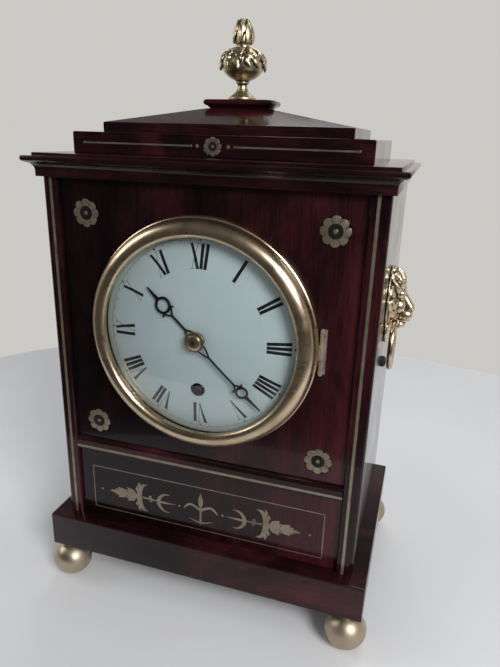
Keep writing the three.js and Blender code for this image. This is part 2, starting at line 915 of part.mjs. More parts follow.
// The leaf on the case carries the two end knuckles and the pin.
function caseHingeLeaf() {
  const half = hingeLength / 2;
  const middle = hingeMiddleLength / 2 + clearance;
  const leafFront = panelRecess - hingeLeafThickness;
  const ends = [
    [-half, -middle],
    [middle, half],
  ];
  const knuckles = ends.map(([bottom, top]) => knuckle(hingeKnuckleRadius, bottom, top));
  const webs = ends.map(([bottom, top]) =>
    block([hingeAxisX - 1, hingeAxisY, bottom], [hingeAxisX + 1, leafFront + 0.4, top]),
  );
  const leaf = block([hingeAxisX - 1, leafFront, -half], [hingeAxisX + 3.2, panelRecess, half]);
  return join(leaf, ...knuckles, ...webs, knuckle(hingePinRadius, -half - 1, half + 1, 10));
}

function bezelHingeLeaf() {
  const half = hingeMiddleLength / 2;
  const seatX = bezelRadius + 0.1;
  const arm = block([seatX, hingeAxisY - 1.4, -half], [hingeAxisX, hingeAxisY + 1.4, half]);
  const bore = knuckle(hingePinRadius + clearance, -half - 1, half + 1, 10);
  return cut(join(knuckle(hingeKnuckleRadius, -half, half), arm), bore);
}

add(works, "dial", dial(), whiteEnamel);
add(works, "bezel", bezel(), brass);
add(works, "bezel_glass", bezelGlass(), glass);
add(works, "case_hinge_leaf", caseHingeLeaf(), brass);
add(works, "bezel_hinge_leaf", bezelHingeLeaf(), brass);

// ---------------------------------------------------------------- hands

// A pierced-ring hand pointing to twelve, bent back over the dome of the dial.
function hand({ length, ringAt, ringRadius, boss, bore, frontY }) {
  const back = frontY + handThickness;
  const part = (points, holes = []) => slab(points, frontY, back, holes);
  const forkEnd = ringAt * 0.3;
  const prong = (side) =>
    part([
      [side * boss * 0.78, boss * 0.3],
      [side * (boss * 0.78 - 1.1), boss * 0.3],
      [-side * 0.2, forkEnd + 1],
      [side * handStemWidth * 0.5, forkEnd],
    ]);
  const stemHalf = handStemWidth / 2;
  const stem = part(rectangle(-stemHalf, stemHalf, forkEnd - 1, ringAt - ringRadius + 0.6));
  const ringHole = circle(0, ringAt, ringRadius - handRingWidth, 20);
  const ring = part(circle(0, ringAt, ringRadius, 20), [ringHole]);
  const lugs = [-1, 1].map((side) => {
    const x = side * ringRadius * 0.72;
    const z = ringAt - ringRadius * 0.85;
    return part(rectangle(x - 0.9, x + 0.9, z - 0.9, z + 0.9));
  });
  const tip = part([
    [-1.5, ringAt + ringRadius - 0.8],
    [1.5, ringAt + ringRadius - 0.8],
    [0.9, length - 2],
    [0.3, length],
    [-0.3, length],
    [-0.9, length - 2],
  ]);
  const hub = part(circle(0, 0, boss, 20));
  const whole = cut(
    join(hub, prong(-1), prong(1), stem, ring, ...lugs, tip),
    rod(bore, frontY - 5, back + 5, 16),
  );
  const points = whole.getAttribute("position");
  for (let i = 0; i < points.count; i++)
    points.setY(i, points.getY(i) + dialFall(Math.hypot(points.getX(i), points.getZ(i))));
  return whole;
}

const minuteAngle = (shownMinute / 60) * 2 * Math.PI;
const hourAngle = ((shownHour + shownMinute / 60) / 12) * 2 * Math.PI;

add(
  works,
  "hour_hand",
  hand({
    length: hourHandLength,
    ringAt: hourRingAt,
    ringRadius: hourRingRadius,
    boss: hourBossRadius,
    bore: hourPipeRadius + 0.2,
    frontY: hourHandY,
  }).rotateY(hourAngle),
  bluedSteel,
);
add(
  works,
  "minute_hand",
  hand({
    length: minuteHandLength,
    ringAt: minuteRingAt,
    ringRadius: minuteRingRadius,
    boss: minuteBossRadius,
    bore: cannonPipeRadius + 0.2,
    frontY: minuteHandY,
  }).rotateY(minuteAngle),
  bluedSteel,
);

const handArborRadius = cannonPipeRadius - pipeWall - clearance;
const colletBack = minuteHandY - 0.2;

function handCollet() {
  const bore = handArborRadius + clearance;
  return turned(
    [
      [bore, colletBack],
      [colletRadius, colletBack],
      [colletRadius, colletBack - 0.7],
      [colletRadius * 0.86, colletBack - colletHeight * 0.6],
      [colletRadius * 0.55, colletBack - colletHeight * 0.92],
      [bore, colletBack - colletHeight],
    ],
    18,
  );
}
add(works, "hand_collet", handCollet(), brass);

// ---------------------------------------------------------------- movement frame

const greatModule = (2 * windingDrop) / (greatTeeth + centrePinionLeaves);
const centreDistance = (centreModule * (centreTeeth + thirdPinionLeaves)) / 2;
const thirdDistance = (thirdModule * (thirdTeeth + escapePinionLeaves)) / 2;
const motionDistance = motionModule * motionTeeth;
const hourModule = (2 * motionDistance) / (hourTeeth + minutePinionLeaves);

function polar(distance, degrees) {
  const angle = THREE.MathUtils.degToRad(degrees);
  return { x: distance * Math.cos(angle), z: distance * Math.sin(angle) };
}

const centreArbor = { x: 0, z: 0 };
const fuseeArbor = { x: 0, z: -windingDrop };
const barrelArbor = { x: barrelOffsetX, z: barrelOffsetZ };
const thirdArbor = polar(centreDistance, thirdWheelAngle);
const escapeArbor = { x: 0, z: thirdArbor.z + Math.sqrt(thirdDistance ** 2 - thirdArbor.x ** 2) };
const palletArbor = { x: 0, z: escapeArbor.z + palletArborRise };
const minuteStud = polar(motionDistance, minuteWheelAngle);

const pillarX = plateWidth / 2 - pillarInset;
const pillarPlaces = [-plateBelow + pillarInset, plateAbove - pillarInset].flatMap((z) => [
  { x: -pillarX, z },
  { x: pillarX, z },
]);

function plateOutline() {
  return rectangle(-plateWidth / 2, plateWidth / 2, -plateBelow, plateAbove);
}

function holeAt({ x, z }, radius) {
  return circle(x, z, radius + clearance, 8);
}

function frontPlate() {
  const holes = [
    holeAt(centreArbor, handArborRadius),
    holeAt(fuseeArbor, heavyArborRadius),
    holeAt(barrelArbor, heavyArborRadius),
    ...[thirdArbor, escapeArbor].map((place) => holeAt(place, trainPivotRadius)),
    ...[palletArbor, ...pillarPlaces].map((place) => holeAt(place, pivotRadius)),
    ...dialFeet.map(([x, z]) => holeAt({ x, z }, dialFootRadius)),
  ];
  const plate = slab(plateOutline(), frontPlateSetback, frontPlateBack, holes);
  const stud = rod(pivotRadius, minuteStudFront, frontPlateSetback + 1, 10);
  return join(plate, stud.translate(minuteStud.x, 0, minuteStud.z));
}

// The four pillars are riveted into the back plate.
function backPlate() {
  const holes = [
    ...[fuseeArbor, barrelArbor, centreArbor].map((place) => holeAt(place, pivotRadius)),
    ...[thirdArbor, escapeArbor].map((place) => holeAt(place, trainPivotRadius)),
    holeAt(palletArbor, arborRadius + 1),
  ];
  const plate = slab(plateOutline(), backPlateFront, backPlateBack, holes);
  const pillars = pillarPlaces.map(({ x, z }) =>
    turned(
      [
        [0, frontPlateSetback - 2.5],
        [pivotRadius, frontPlateSetback - 2.5],
        [pivotRadius, frontPlateBack + clearance],
        [pillarRadius, frontPlateBack + clearance],
        [pillarRadius, frontPlateBack + 4],
        [pillarRadius * 0.72, frontPlateBack + 8],
        [pillarRadius * 0.72, backPlateFront - 8],
        [pillarRadius, backPlateFront - 4],
        [pillarRadius, backPlateFront + 0.5],
        [0, backPlateFront + 0.5],
      ],
      8,
    ).translate(x, 0, z),
  );
  return join(plate, ...pillars);
}

// ---------------------------------------------------------------- wheels and pinions

// Depths of the wheels, back from the stiles' face.
const hourWheelY = 8;
const cannonWheelY = 13.5;
const minuteStudFront = cannonWheelY + 1; // inside the hub of the minute wheel
const centreWheelY = 36;
const escapeWheelY = 46;
const greatWheelY = 66.4;
const thirdWheelY = 76;

const toothAddendum = 0.95; // in modules, beyond the pitch circle
const leafAddendum = 0.75;
const toothDedendum = 1.35;

// Pointed teeth with play between them, one of them centred on the phase angle in degrees.
function toothedOutline(teeth, module, phase, addendum = toothAddendum) {
  const pitchRadius = (teeth * module) / 2;
  const root = pitchRadius - toothDedendum * module;
  const tip = pitchRadius + addendum * module;
  const step = 360 / teeth;
  return Array.from({ length: 2 * teeth }, (_, i) => {
    const { x, z } = polar(i % 2 ? root : tip, phase + (i * step) / 2);
    return [x, z];
  });
}

// Four openings between crossings, hub and rim.
function crossings(hubRadius, rimRadius, crossingWidth, turn = 45) {
  return [0, 1, 2, 3].map((quarter) => {
    const middle = turn + quarter * 90;
    const side = (r) => THREE.MathUtils.radToDeg(Math.asin(crossingWidth / 2 / r));
    const edge = (r, steps) =>
      Array.from({ length: steps + 1 }, (_, i) => {
        const from = -45 + side(r);
        const { x, z } = polar(r, middle + from - (2 * from * i) / steps);
        return [x, z];
      });
    return [...edge(rimRadius, 4), ...edge(hubRadius, 1).reverse()];
  });
}

function wheel(teeth, module, phase, front, thickness = wheelThickness) {
  const rim = (teeth * module) / 2 - toothDedendum * module - 2.6;
  return slab(toothedOutline(teeth, module, phase), front, front + thickness, crossings(5, rim, 3));
}

function pinion(leaves, module, phase, front, back) {
  return slab(toothedOutline(leaves, module, phase, leafAddendum), front, back);
}

function degreesBetween(from, to) {
  return THREE.MathUtils.radToDeg(Math.atan2(to.z - from.z, to.x - from.x));
}

// A pinion shows the wheel that drives it the gap between two leaves.
function gapToward(from, to, leaves) {
  return degreesBetween(from, to) + 180 / leaves;
}

// An arbor of the train between the plates, with a pivot at each end.
function trainArbor() {
  const front = frontPlateBack + clearance;
  const back = backPlateFront - clearance;
  return turned(
    [
      [0, frontPlateSetback],
      [trainPivotRadius, frontPlateSetback],
      [trainPivotRadius, front],
      [trainArborRadius, front],
      [trainArborRadius, back],
      [trainPivotRadius, back],
      [trainPivotRadius, backPlateBack],
      [0, backPlateBack],
    ],
    8,
  );
}

function centreWheelWork() {
  const spindle = turned(
    [
      [0, colletBack - colletHeight - 1.4],
      [handArborRadius, colletBack - colletHeight - 1.4],
      [handArborRadius, frontPlateBack + clearance],
      [arborRadius, frontPlateBack + clearance],
      [arborRadius, backPlateFront - clearance],
      [pivotRadius, backPlateFront - clearance],
      [pivotRadius, backPlateBack],
      [0, backPlateBack],
    ],
    12,
  );
  const toGreat = gapToward(centreArbor, fuseeArbor, centrePinionLeaves);
  const toThird = degreesBetween(centreArbor, thirdArbor);
  const pinionBack = greatWheelY + greatWheelThickness + 2.5;
  return join(
    spindle,
    pinion(centrePinionLeaves, greatModule, toGreat, greatWheelY - 2.5, pinionBack),
    wheel(centreTeeth, centreModule, toThird, centreWheelY),
    rod(6, centreWheelY - 2, centreWheelY + 0.5, 14),
  );
}

function thirdWheelWork() {
  const toCentre = gapToward(thirdArbor, centreArbor, thirdPinionLeaves);
  const toEscape = degreesBetween(thirdArbor, escapeArbor);
  const pinionBack = centreWheelY + wheelThickness + 3;
  return join(
    trainArbor(),
    pinion(thirdPinionLeaves, centreModule, toCentre, centreWheelY - 3, pinionBack),
    wheel(thirdTeeth, thirdModule, toEscape, thirdWheelY),
    rod(6, thirdWheelY - 2, thirdWheelY + 0.5, 14),
  );
}

function escapeWheelWork() {
  const toThird = gapToward(escapeArbor, thirdArbor, escapePinionLeaves);
  const step = 360 / escapeTeeth;
  const outline = Array.from({ length: escapeTeeth }, (_, i) => {
    const at = (r, share) => Object.values(polar(r, (i + share) * step));
    return [at(escapeWheelRadius, 0), at(escapeWheelRadius - escapeToothDepth, 0.15)];
  }).flat();
  const rim = escapeWheelRadius - 5;
  const pinionBack = thirdWheelY + wheelThickness + 2.5;
  return join(
    trainArbor(),
    pinion(escapePinionLeaves, thirdModule, toThird, thirdWheelY - 3, pinionBack),
    slab(outline, escapeWheelY, escapeWheelY + 1.2, crossings(4.6, rim, 2.2)),
    rod(5.2, escapeWheelY - 1.5, escapeWheelY + 0.5, 14),
  );
}

function greatWheel() {
  const phase = degreesBetween(fuseeArbor, centreArbor);
  const rim = (greatTeeth * greatModule) / 2 - toothDedendum * greatModule - 4;
  const outline = toothedOutline(greatTeeth, greatModule, phase);
  const bore = circle(0, 0, heavyArborRadius + clearance, 16);
  return slab(outline, greatWheelY, greatWheelY + greatWheelThickness, [bore, ...crossings(14, rim, 6)]);
}

// A grooved cone on the winding arbor, whose squared end stands behind the hole in the dial.
function fusee() {
  const end = greatWheelY - clearance;
  const start = end - fuseeLength;
  const turns = 7;
  const groove = 1.1;
  const cone = Array.from({ length: turns + 1 }, (_, i) => {
    const y = start + 2 + ((fuseeLength - 5) * i) / turns;
    const share = i / turns;
    const r = fuseeSmallRadius + (fuseeLargeRadius - fuseeSmallRadius) * share ** 1.4;
    const step = (fuseeLength - 5) / turns;
    return [
      [r, y],
      [r - groove, y + step * 0.5],
    ];
  }).flat();
  const squareEnd = dialFrontY + dialFall(windingDrop) + 1.8;
  const half = windingSquare / 2;
  return join(
    turned(
      [
        [0, frontPlateSetback - 6],
        [heavyArborRadius, frontPlateSetback - 6],
        [heavyArborRadius, start],
        [fuseeSmallRadius + 1.5, start],
        [fuseeSmallRadius + 1.5, start + 1.6],
        ...cone.slice(0, -1),
        [fuseeLargeRadius + 1.2, end - 2],
        [fuseeLargeRadius + 1.2, end],
        [heavyArborRadius, end],
        [heavyArborRadius, backPlateFront - clearance],
        [pivotRadius, backPlateFront - clearance],
        [pivotRadius, backPlateBack],
        [0, backPlateBack],
      ],
      18,
    ),
    block([-half, squareEnd, -half], [half, frontPlateSetback - 5, half]),
  );
}

function springBarrel() {
  const end = greatWheelY - 2.4;
  const start = end - barrelLength;
  const cap = 1.4;
  return turned(
    [
      [0, frontPlateSetback - 6],
      [heavyArborRadius, frontPlateSetback - 6],
      [heavyArborRadius, start - 1],
      [barrelRadius + cap, start - 1],
      [barrelRadius + cap, start + 1],
      [barrelRadius, start + 1],
      [barrelRadius, end - 1],
      [barrelRadius + cap, end - 1],
      [barrelRadius + cap, end + 1],
      [heavyArborRadius, end + 1],
      [heavyArborRadius, backPlateFront - clearance],
      [pivotRadius, backPlateFront - clearance],
      [pivotRadius, backPlateBack],
      [0, backPlateBack],
    ],
    20,
  );
}

// The line runs straight from the top of the barrel to the fusee's middle turns.
function gutLine() {
  const lineY = greatWheelY - fuseeLength / 2;
  const fuseeSide = fuseeLargeRadius - 3.4;
  const lift = lineRadius + clearance;
  const from = new THREE.Vector3(barrelArbor.x, lineY, barrelArbor.z + barrelRadius + lift);
  const to = new THREE.Vector3(fuseeArbor.x, lineY, fuseeArbor.z + fuseeSide + lift);
  const path = new THREE.LineCurve3(from, to);
  const section = shapeOf(circle(0, 0, lineRadius, 8));
  return new THREE.ExtrudeGeometry(section, { extrudePath: path, steps: 1, bevelEnabled: false });
}

// ---------------------------------------------------------------- motion work

function cannonWheel() {
  const bore = handArborRadius + clearance;
  const teeth = toothedOutline(motionTeeth, motionModule, degreesBetween(centreArbor, minuteStud));
  return cut(
    join(
      rod(cannonPipeRadius, minuteHandY + 0.1, frontPlateSetback - clearance, 16),
      slab(teeth, cannonWheelY, cannonWheelY + wheelThickness),
    ),
    rod(bore, minuteHandY - 2, frontPlateSetback + 2, 12),
  );
}

function minuteWheel() {
  const toCannon = gapToward(minuteStud, centreArbor, motionTeeth);
  const toHour = gapToward(minuteStud, centreArbor, minutePinionLeaves);
  const teeth = toothedOutline(motionTeeth, motionModule, toCannon);
  return cut(
    join(
      slab(teeth, cannonWheelY, cannonWheelY + wheelThickness),
      pinion(minutePinionLeaves, hourModule, toHour, hourWheelY - 1, cannonWheelY + 0.5),
      rod(3.4, cannonWheelY, frontPlateSetback - clearance, 12),
    ),
    rod(pivotRadius + clearance, minuteStudFront - clearance, frontPlateSetback + 2, 10),
  );
}

function hourWheel() {
  const phase = degreesBetween(centreArbor, minuteStud);
  const back = cannonWheelY - clearance;
  return cut(
    join(
      rod(hourPipeRadius, hourHandY + 0.1, back, 16),
      wheel(hourTeeth, hourModule, phase, hourWheelY),
      rod(6, hourWheelY - 2, hourWheelY + 0.5, 14),
    ),
    rod(cannonPipeRadius + clearance, hourHandY - 2, back + 2, 16),
  );
}

// ---------------------------------------------------------------- escapement and pendulum

// An anchor over the escape wheel, its arbor, and the crutch that reaches down to the pendulum rod.
function palletsAndCrutch() {
  const tip = polar(escapeWheelRadius + palletSweepGap, 90 - palletSpread);
  const tipZ = tip.z - palletArborRise;
  const outline = (side) => [
    [side * tip.x, tipZ],
    [side * (tip.x + 2.2), tipZ + 1.2],
    [side * (tip.x + 1.6), tipZ + 6],
    [0, 4],
    [0, -2],
    [side * (tip.x - 1), tipZ + 4.6],
  ];
  const arm = (side) => slab(outline(side), escapeWheelY - 1.5, escapeWheelY + 2.7);
  const crutchY = backPlateBack + 3;
  const forkGap = pendulumRodRadius + 0.4;
  const prong = (side) =>
    block(
      [side > 0 ? forkGap : -forkGap - 1.4, crutchY, -crutchLength - 2],
      [side > 0 ? forkGap + 1.4 : -forkGap, pendulumSetback + 4, -crutchLength + 2],
    );
  return join(
    turned(
      [
        [0, frontPlateSetback],
        [pivotRadius, frontPlateSetback],
        [pivotRadius, frontPlateBack + clearance],
        [arborRadius, frontPlateBack + clearance],
        [arborRadius, backPlateBack + cockStandoff - clearance],
        [pivotRadius, backPlateBack + cockStandoff - clearance],
        [pivotRadius, backPlateBack + cockStandoff + 2],
        [0, backPlateBack + cockStandoff + 2],
      ],
      12,
    ),
    rod(4.2, escapeWheelY - 1.5, escapeWheelY + 2.7, 14),
    arm(-1),
    arm(1),
    rod(4.2, crutchY - 0.8, crutchY + 2.6, 14),
    block([-1.2, crutchY, -crutchLength], [1.2, crutchY + 1.8, 0]),
    block(
      [-forkGap - 1.4, crutchY, -crutchLength - 2],
      [forkGap + 1.4, crutchY + 1.8, -crutchLength + 2],
    ),
    prong(-1),
    prong(1),
  );
}

// A bridge over the pallet arbor; the pendulum hangs from the block behind it.
function backCock() {
  const spread = 22;
  const footWidth = 8;
  const below = 7;
  const above = 8;
  const inner = backPlateBack;
  const bridgeFront = backPlateBack + cockStandoff;
  const bridgeBack = bridgeFront + 3;
  const bridge = column(
    [
      [-spread, inner],
      [-spread + footWidth, inner],
      [-spread + footWidth, bridgeFront],
      [spread - footWidth, bridgeFront],
      [spread - footWidth, inner],
      [spread, inner],
      [spread, bridgeBack],
      [-spread, bridgeBack],
    ],
    -below,
    above,
  );
  const holder = block([-5, bridgeBack - 0.5, -2.5], [5, pendulumSetback + 4, above]);
  const pivot = rod(pivotRadius + clearance, bridgeFront - 5, bridgeBack - 0.6, 12);
  return cut(join(bridge, holder), pivot);
}

// Suspension spring, rod, lens-shaped bob and rating nut, hung from the level of the pallet arbor.
function pendulum() {
  const springTop = -2.8;
  const springBottom = -16;
  const lens = [
    [0, -bobThickness / 2],
    [bobRadius * 0.55, -bobThickness * 0.42],
    [bobRadius * 0.88, -bobThickness * 0.2],
    [bobRadius, 0],
    [bobRadius * 0.88, bobThickness * 0.2],
    [bobRadius * 0.55, bobThickness * 0.42],
    [0, bobThickness / 2],
  ];
  return join(
    block([-3, pendulumSetback - 0.3, springBottom - 1], [3, pendulumSetback + 0.3, springTop]),
    block([-3.6, pendulumSetback - 2, springBottom - 6], [3.6, pendulumSetback + 2, springBottom]),
    turnedUpright(
      [
        [0, -pendulumLength - bobRadius - 12],
        [pendulumRodRadius, -pendulumLength - bobRadius - 12],
        [pendulumRodRadius, springBottom - 4],
        [0, springBottom - 4],
      ],
      10,
    ).translate(0, pendulumSetback, 0),
    turned(lens, 20).translate(0, pendulumSetback, -pendulumLength),
    turnedUpright(
      [
        [0, -pendulumLength - bobRadius - 7],
        [5, -pendulumLength - bobRadius - 7],
        [5, -pendulumLength - bobRadius - 2.5],
        [0, -pendulumLength - bobRadius - 2.5],
      ],
      12,
    ).translate(0, pendulumSetback, 0),
  );
}

function at({ x, z }) {
  return [x, 0, z];
}

add(works, "front_plate", frontPlate(), movementBrass);
add(works, "back_plate", backPlate(), movementBrass);
add(works, "spring_barrel", springBarrel(), movementBrass, at(barrelArbor));
add(works, "gut_line", gutLine(), gutString);
add(works, "fusee", fusee(), movementBrass, at(fuseeArbor));
add(works, "great_wheel", greatWheel(), movementBrass, at(fuseeArbor));
add(works, "centre_wheel", centreWheelWork(), movementBrass);
add(works, "third_wheel", thirdWheelWork(), movementBrass, at(thirdArbor));
add(works, "escape_wheel", escapeWheelWork(), movementBrass, at(escapeArbor));
add(works, "cannon_wheel", cannonWheel(), movementBrass);
add(works, "minute_wheel", minuteWheel(), movementBrass, at(minuteStud));
add(works, "hour_wheel", hourWheel(), movementBrass);
add(works, "pallets_and_crutch", palletsAndCrutch(), steel, at(palletArbor));
add(works, "back_cock", backCock(), movementBrass, at(palletArbor));
add(works, "pendulum", pendulum(), movementBrass, at(palletArbor));

const seatTop = -plateBelow - clearance;
add(
  works,
  "seatboard",
  block(
    [-caseHalf + sideThickness + clearance, frontThickness + clearance, seatTop - seatboardThickness],
    [caseHalf - sideThickness - clearance, frontThickness + seatboardDepth, seatTop],
  ),
  secondaryWood,
);

// ---------------------------------------------------------------- rear door

const doorHalf = caseHalf - sideThickness - doorGap;
const doorBottom = doorGap;
const doorTop = caseHeight - doorGap;
const doorFront = caseDepth - doorThickness;
const doorHingeX = -(caseHalf - sideThickness);
const doorHingeY = caseDepth + doorHingeRadius + clearance;
const glassRebate = 4;
const knobX = doorHalf - doorStile / 2;

function rearDoorFrame() {
  const inset = (edge) =>
    rectangle(-doorHalf + edge, doorHalf - edge, doorBottom + edge, doorTop - edge);
  const frame = slab(inset(0), doorFront, caseDepth, [inset(doorStile)]);
  const rebateBack = doorFront + doorGlassThickness + 1;
  return cut(frame, slab(inset(doorStile - glassRebate), doorFront - 1, rebateBack));
}

function rearDoorGlass() {
  const edge = doorStile - glassRebate + clearance;
  return block(
    [-doorHalf + edge, doorFront + 1 - clearance, doorBottom + edge],
    [doorHalf - edge, doorFront + 1 + doorGlassThickness - clearance, doorTop - edge],
  );
}

function rearDoorKnob() {
  return turned(
    [
      [0, clearance / 2],
      [doorKnobRadius * 0.9, clearance / 2],
      [doorKnobRadius * 0.9, 1.4],
      [doorKnobRadius * 0.4, 2.4],
      [doorKnobRadius * 0.45, 4],
      [doorKnobRadius, 5.6],
      [doorKnobRadius * 0.85, 8],
      [0, 8.8],
    ],
    14,
  );
}

// A butt hinge on the side board's back edge, whose knuckle the door swings round.
function rearHinge() {
  const half = doorHingeLength / 2;
  const leafBack = doorHingeY - doorHingeRadius + 1.8;
  return join(
    turnedUpright(
      [
        [0, -half],
        [doorHingeRadius, -half],
        [doorHingeRadius, half],
        [0, half],
      ],
      14,
    ).translate(doorHingeX, doorHingeY, 0),
    block([-caseHalf + 1, caseDepth + clearance / 2, -half], [doorHingeX, leafBack, half]),
  );
}

add(carcase, "rear_door_frame", rearDoorFrame(), mahogany);
add(carcase, "rear_door_glass", rearDoorGlass(), glass);
add(carcase, "rear_door_knob", rearDoorKnob(), brass, [knobX, caseDepth, caseHeight / 2]);
add(carcase, "rear_hinge_lower", rearHinge(), brass, [0, 0, doorBottom + doorHingeInset]);
add(carcase, "rear_hinge_upper", rearHinge(), brass, [0, 0, doorTop - doorHingeInset]);

export default clock;
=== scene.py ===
"""Looks of the bracket clock: camera, studio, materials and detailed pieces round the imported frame.

Lengths are millimetres until a mesh is made. X runs left to right, Y front to back and Z upwards.
"""
import random
from math import cos, degrees, pi, radians, sin

import bmesh
import bpy
from mathutils import Euler, Matrix, Vector


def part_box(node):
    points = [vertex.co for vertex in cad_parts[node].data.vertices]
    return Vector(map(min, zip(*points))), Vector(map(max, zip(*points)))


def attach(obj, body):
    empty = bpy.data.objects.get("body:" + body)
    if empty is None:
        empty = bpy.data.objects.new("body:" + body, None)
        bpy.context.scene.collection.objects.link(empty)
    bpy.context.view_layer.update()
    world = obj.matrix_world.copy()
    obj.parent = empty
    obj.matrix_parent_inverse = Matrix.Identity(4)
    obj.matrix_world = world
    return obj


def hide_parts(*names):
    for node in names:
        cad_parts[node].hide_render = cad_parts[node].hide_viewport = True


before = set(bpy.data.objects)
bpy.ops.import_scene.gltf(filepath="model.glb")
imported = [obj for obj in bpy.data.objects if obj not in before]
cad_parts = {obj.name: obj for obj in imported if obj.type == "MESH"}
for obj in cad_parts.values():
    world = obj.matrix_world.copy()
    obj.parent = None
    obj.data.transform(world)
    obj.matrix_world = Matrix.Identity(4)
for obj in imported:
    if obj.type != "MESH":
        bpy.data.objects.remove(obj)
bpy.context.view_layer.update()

MM = 0.001

# ---- measures

# Camera, fitted to the photograph
CAMERA_PLACE = (171.93, -512.10, 441.12)
CAMERA_TURN = (70.865, -1.627, 17.690)
CAMERA_LENS = 30.742
CAMERA_SHIFT = (0.00117, 0.00207)


def extent(node):
    low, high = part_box(node)
    return low / MM, high / MM


def middle(node):
    low, high = extent(node)
    return (low + high) / 2


STILE_FACE = extent("corner_stile_left")[0].y
PANEL_FACE = extent("dial_panel")[0].y
LOWER_FACE = extent("lower_panel")[0].y
PLINTH_TOP = extent("plinth")[1].z
FRIEZE_FACE = extent("frieze_block")[0].y
DIAL = Vector((0, STILE_FACE, middle("bezel").z))

# Dial, depths in front of or behind the stiles' face
DIAL_RADIUS = 89
DIAL_DOME = 9
SIGHT_RADIUS = 84.8
WINDING_DROP = 45
WINDING_HOLE = 5.6
NUMERAL_FOOT = 59.3
NUMERAL_TOP = 79.2
MINUTE_DOTS = 81.5
MINUTE_CIRCLE = 83.1

# Hands
HAND_THICKNESS = 1.0
HOUR_HAND_Y = -11.3
MINUTE_HAND_Y = -13.6
HOUR = 10
MINUTE = 22.6

# Side handles
PIVOT_OUT = 7.5
PIVOT_DROP = 20.5
TUNNEL_RADIUS = 4.3


# ---- mesh tools


def placed(name, data):
    """A new object in the scene."""
    made = bpy.data.objects.new(name, data)
    bpy.context.scene.collection.objects.link(made)
    return made


class Shape:
    """Gathers closed pieces, in millimetres, and makes one object of them."""

    def __init__(self):
        self.points = []
        self.faces = []

    def add(self, points, faces):
        base = len(self.points)
        self.points.extend(Vector(p) for p in points)
        self.faces.extend([base + i for i in face] for face in faces)

    def object(self, name, sharp=35):
        mesh = bpy.data.meshes.new(name)
        mesh.from_pydata([p * MM for p in self.points], [], self.faces)
        face_outwards(mesh)
        smooth(mesh, sharp)
        return placed(name, mesh)


def face_outwards(mesh):
    work = bmesh.new()
    work.from_mesh(mesh)
    bmesh.ops.recalc_face_normals(work, faces=work.faces)
    work.to_mesh(mesh)
    work.free()


def smooth(mesh, sharp=35):
    mesh.polygons.foreach_set("use_smooth", [True] * len(mesh.polygons))
    mesh.set_sharp_from_angle(angle=radians(sharp))
    mesh.update()


AXES = {
    "x": (Vector((1, 0, 0)), Vector((0, 1, 0)), Vector((0, 0, 1))),
    "y": (Vector((0, 1, 0)), Vector((0, 0, 1)), Vector((1, 0, 0))),
    "z": (Vector((0, 0, 1)), Vector((1, 0, 0)), Vector((0, 1, 0))),
}


def lathe(shape, profile, centre, axis="y", segments=96):
    """A solid of revolution from (radius, along) points, which end on the axis or close on themselves."""
    along, across, up = AXES[axis]
    centre = Vector(centre)
    points, rings, faces = [], [], []
    for radius, distance in profile:
        foot = centre + along * distance
        if radius < 1e-6:
            rings.append([len(points)] * segments)
            points.append(foot)
            continue
        rings.append([len(points) + i for i in range(segments)])
        for angle in turns(segments):
            points.append(foot + (across * cos(angle) + up * sin(angle)) * radius)
    pairs = list(zip(rings, rings[1:]))
    if profile[0][0] > 1e-6:
        pairs.append((rings[-1], rings[0]))
    for first, second in pairs:
        for i in range(segments):
            j = (i + 1) % segments
            corners = list(dict.fromkeys([first[i], first[j], second[j], second[i]]))
            if len(corners) > 2:
                faces.append(corners)
    shape.add(points, faces)


def turned(profile, centre, axis="y", segments=96):
    """A new shape with one turned solid."""
    shape = Shape()
    lathe(shape, profile, centre, axis, segments)
    return shape


def loft(shape, rows, closed=False):
    """Skins between rows of points; the end rows are capped or, when closed, joined to each other."""
    count, sides = len(rows), len(rows[0])
    faces = []
    for i in range(count if closed else count - 1):
        a, b = i * sides, (i + 1) % count * sides
        for k in range(sides):
            n = (k + 1) % sides
            faces.append([a + k, a + n, b + n, b + k])
    if not closed:
        faces.append(list(range(sides)))
        faces.append([(count - 1) * sides + k for k in range(sides)])
    shape.add([point for row in rows for point in row], faces)


def turns(count):
    """Equal angles round a full circle."""
    return [2 * pi * i / count for i in range(count)]


def shares(steps):
    """Equal steps from 0 to 1."""
    return [i / steps for i in range(steps + 1)]


def arc_steps(sweep, steps, start=0):
    """Equal angles over a sweep that is given in degrees."""
    return [radians(start + sweep * i / steps) for i in range(steps + 1)]


def circle(radius, steps, centre=0):
    """(x, z) points on a circle from its top, with its centre at a height."""
    return [(radius * sin(a), centre + radius * cos(a)) for a in turns(steps)]


def arc(centre, radius, start, end, steps):
    """(radius, along) points on a circle or, given two radii, on an ellipse."""
    wide, tall = radius if isinstance(radius, tuple) else (radius, radius)
    angles = arc_steps(end - start, steps, start)
    return [(centre[0] + wide * cos(a), centre[1] + tall * sin(a)) for a in angles]


def bent(t, *steers):
    """The point at t, from 0 to 1, of a curve that three points steer."""
    weights = ((1 - t) ** 2, 2 * t * (1 - t), t**2)
    return [sum(w * point[k] for w, point in zip(weights, steers)) for k in range(len(steers[0]))]


def flat(depth):
    """A surface for ribbons and prints: the plane at one depth."""
    return lambda x, z: depth


def dial_fall(x, z):
    """How far the dome has fallen back at a place."""
    return DIAL_DOME * (x * x + z * z) / SIGHT_RADIUS**2


def on_dial(x, z):
    """Depth of the dial's face from the stiles' face; x and z are measured from the hands' axis."""
    return -DIAL_DOME + dial_fall(x, z)


# The least width of a ribbon, in which its sides still have a direction
THINNEST = 0.06


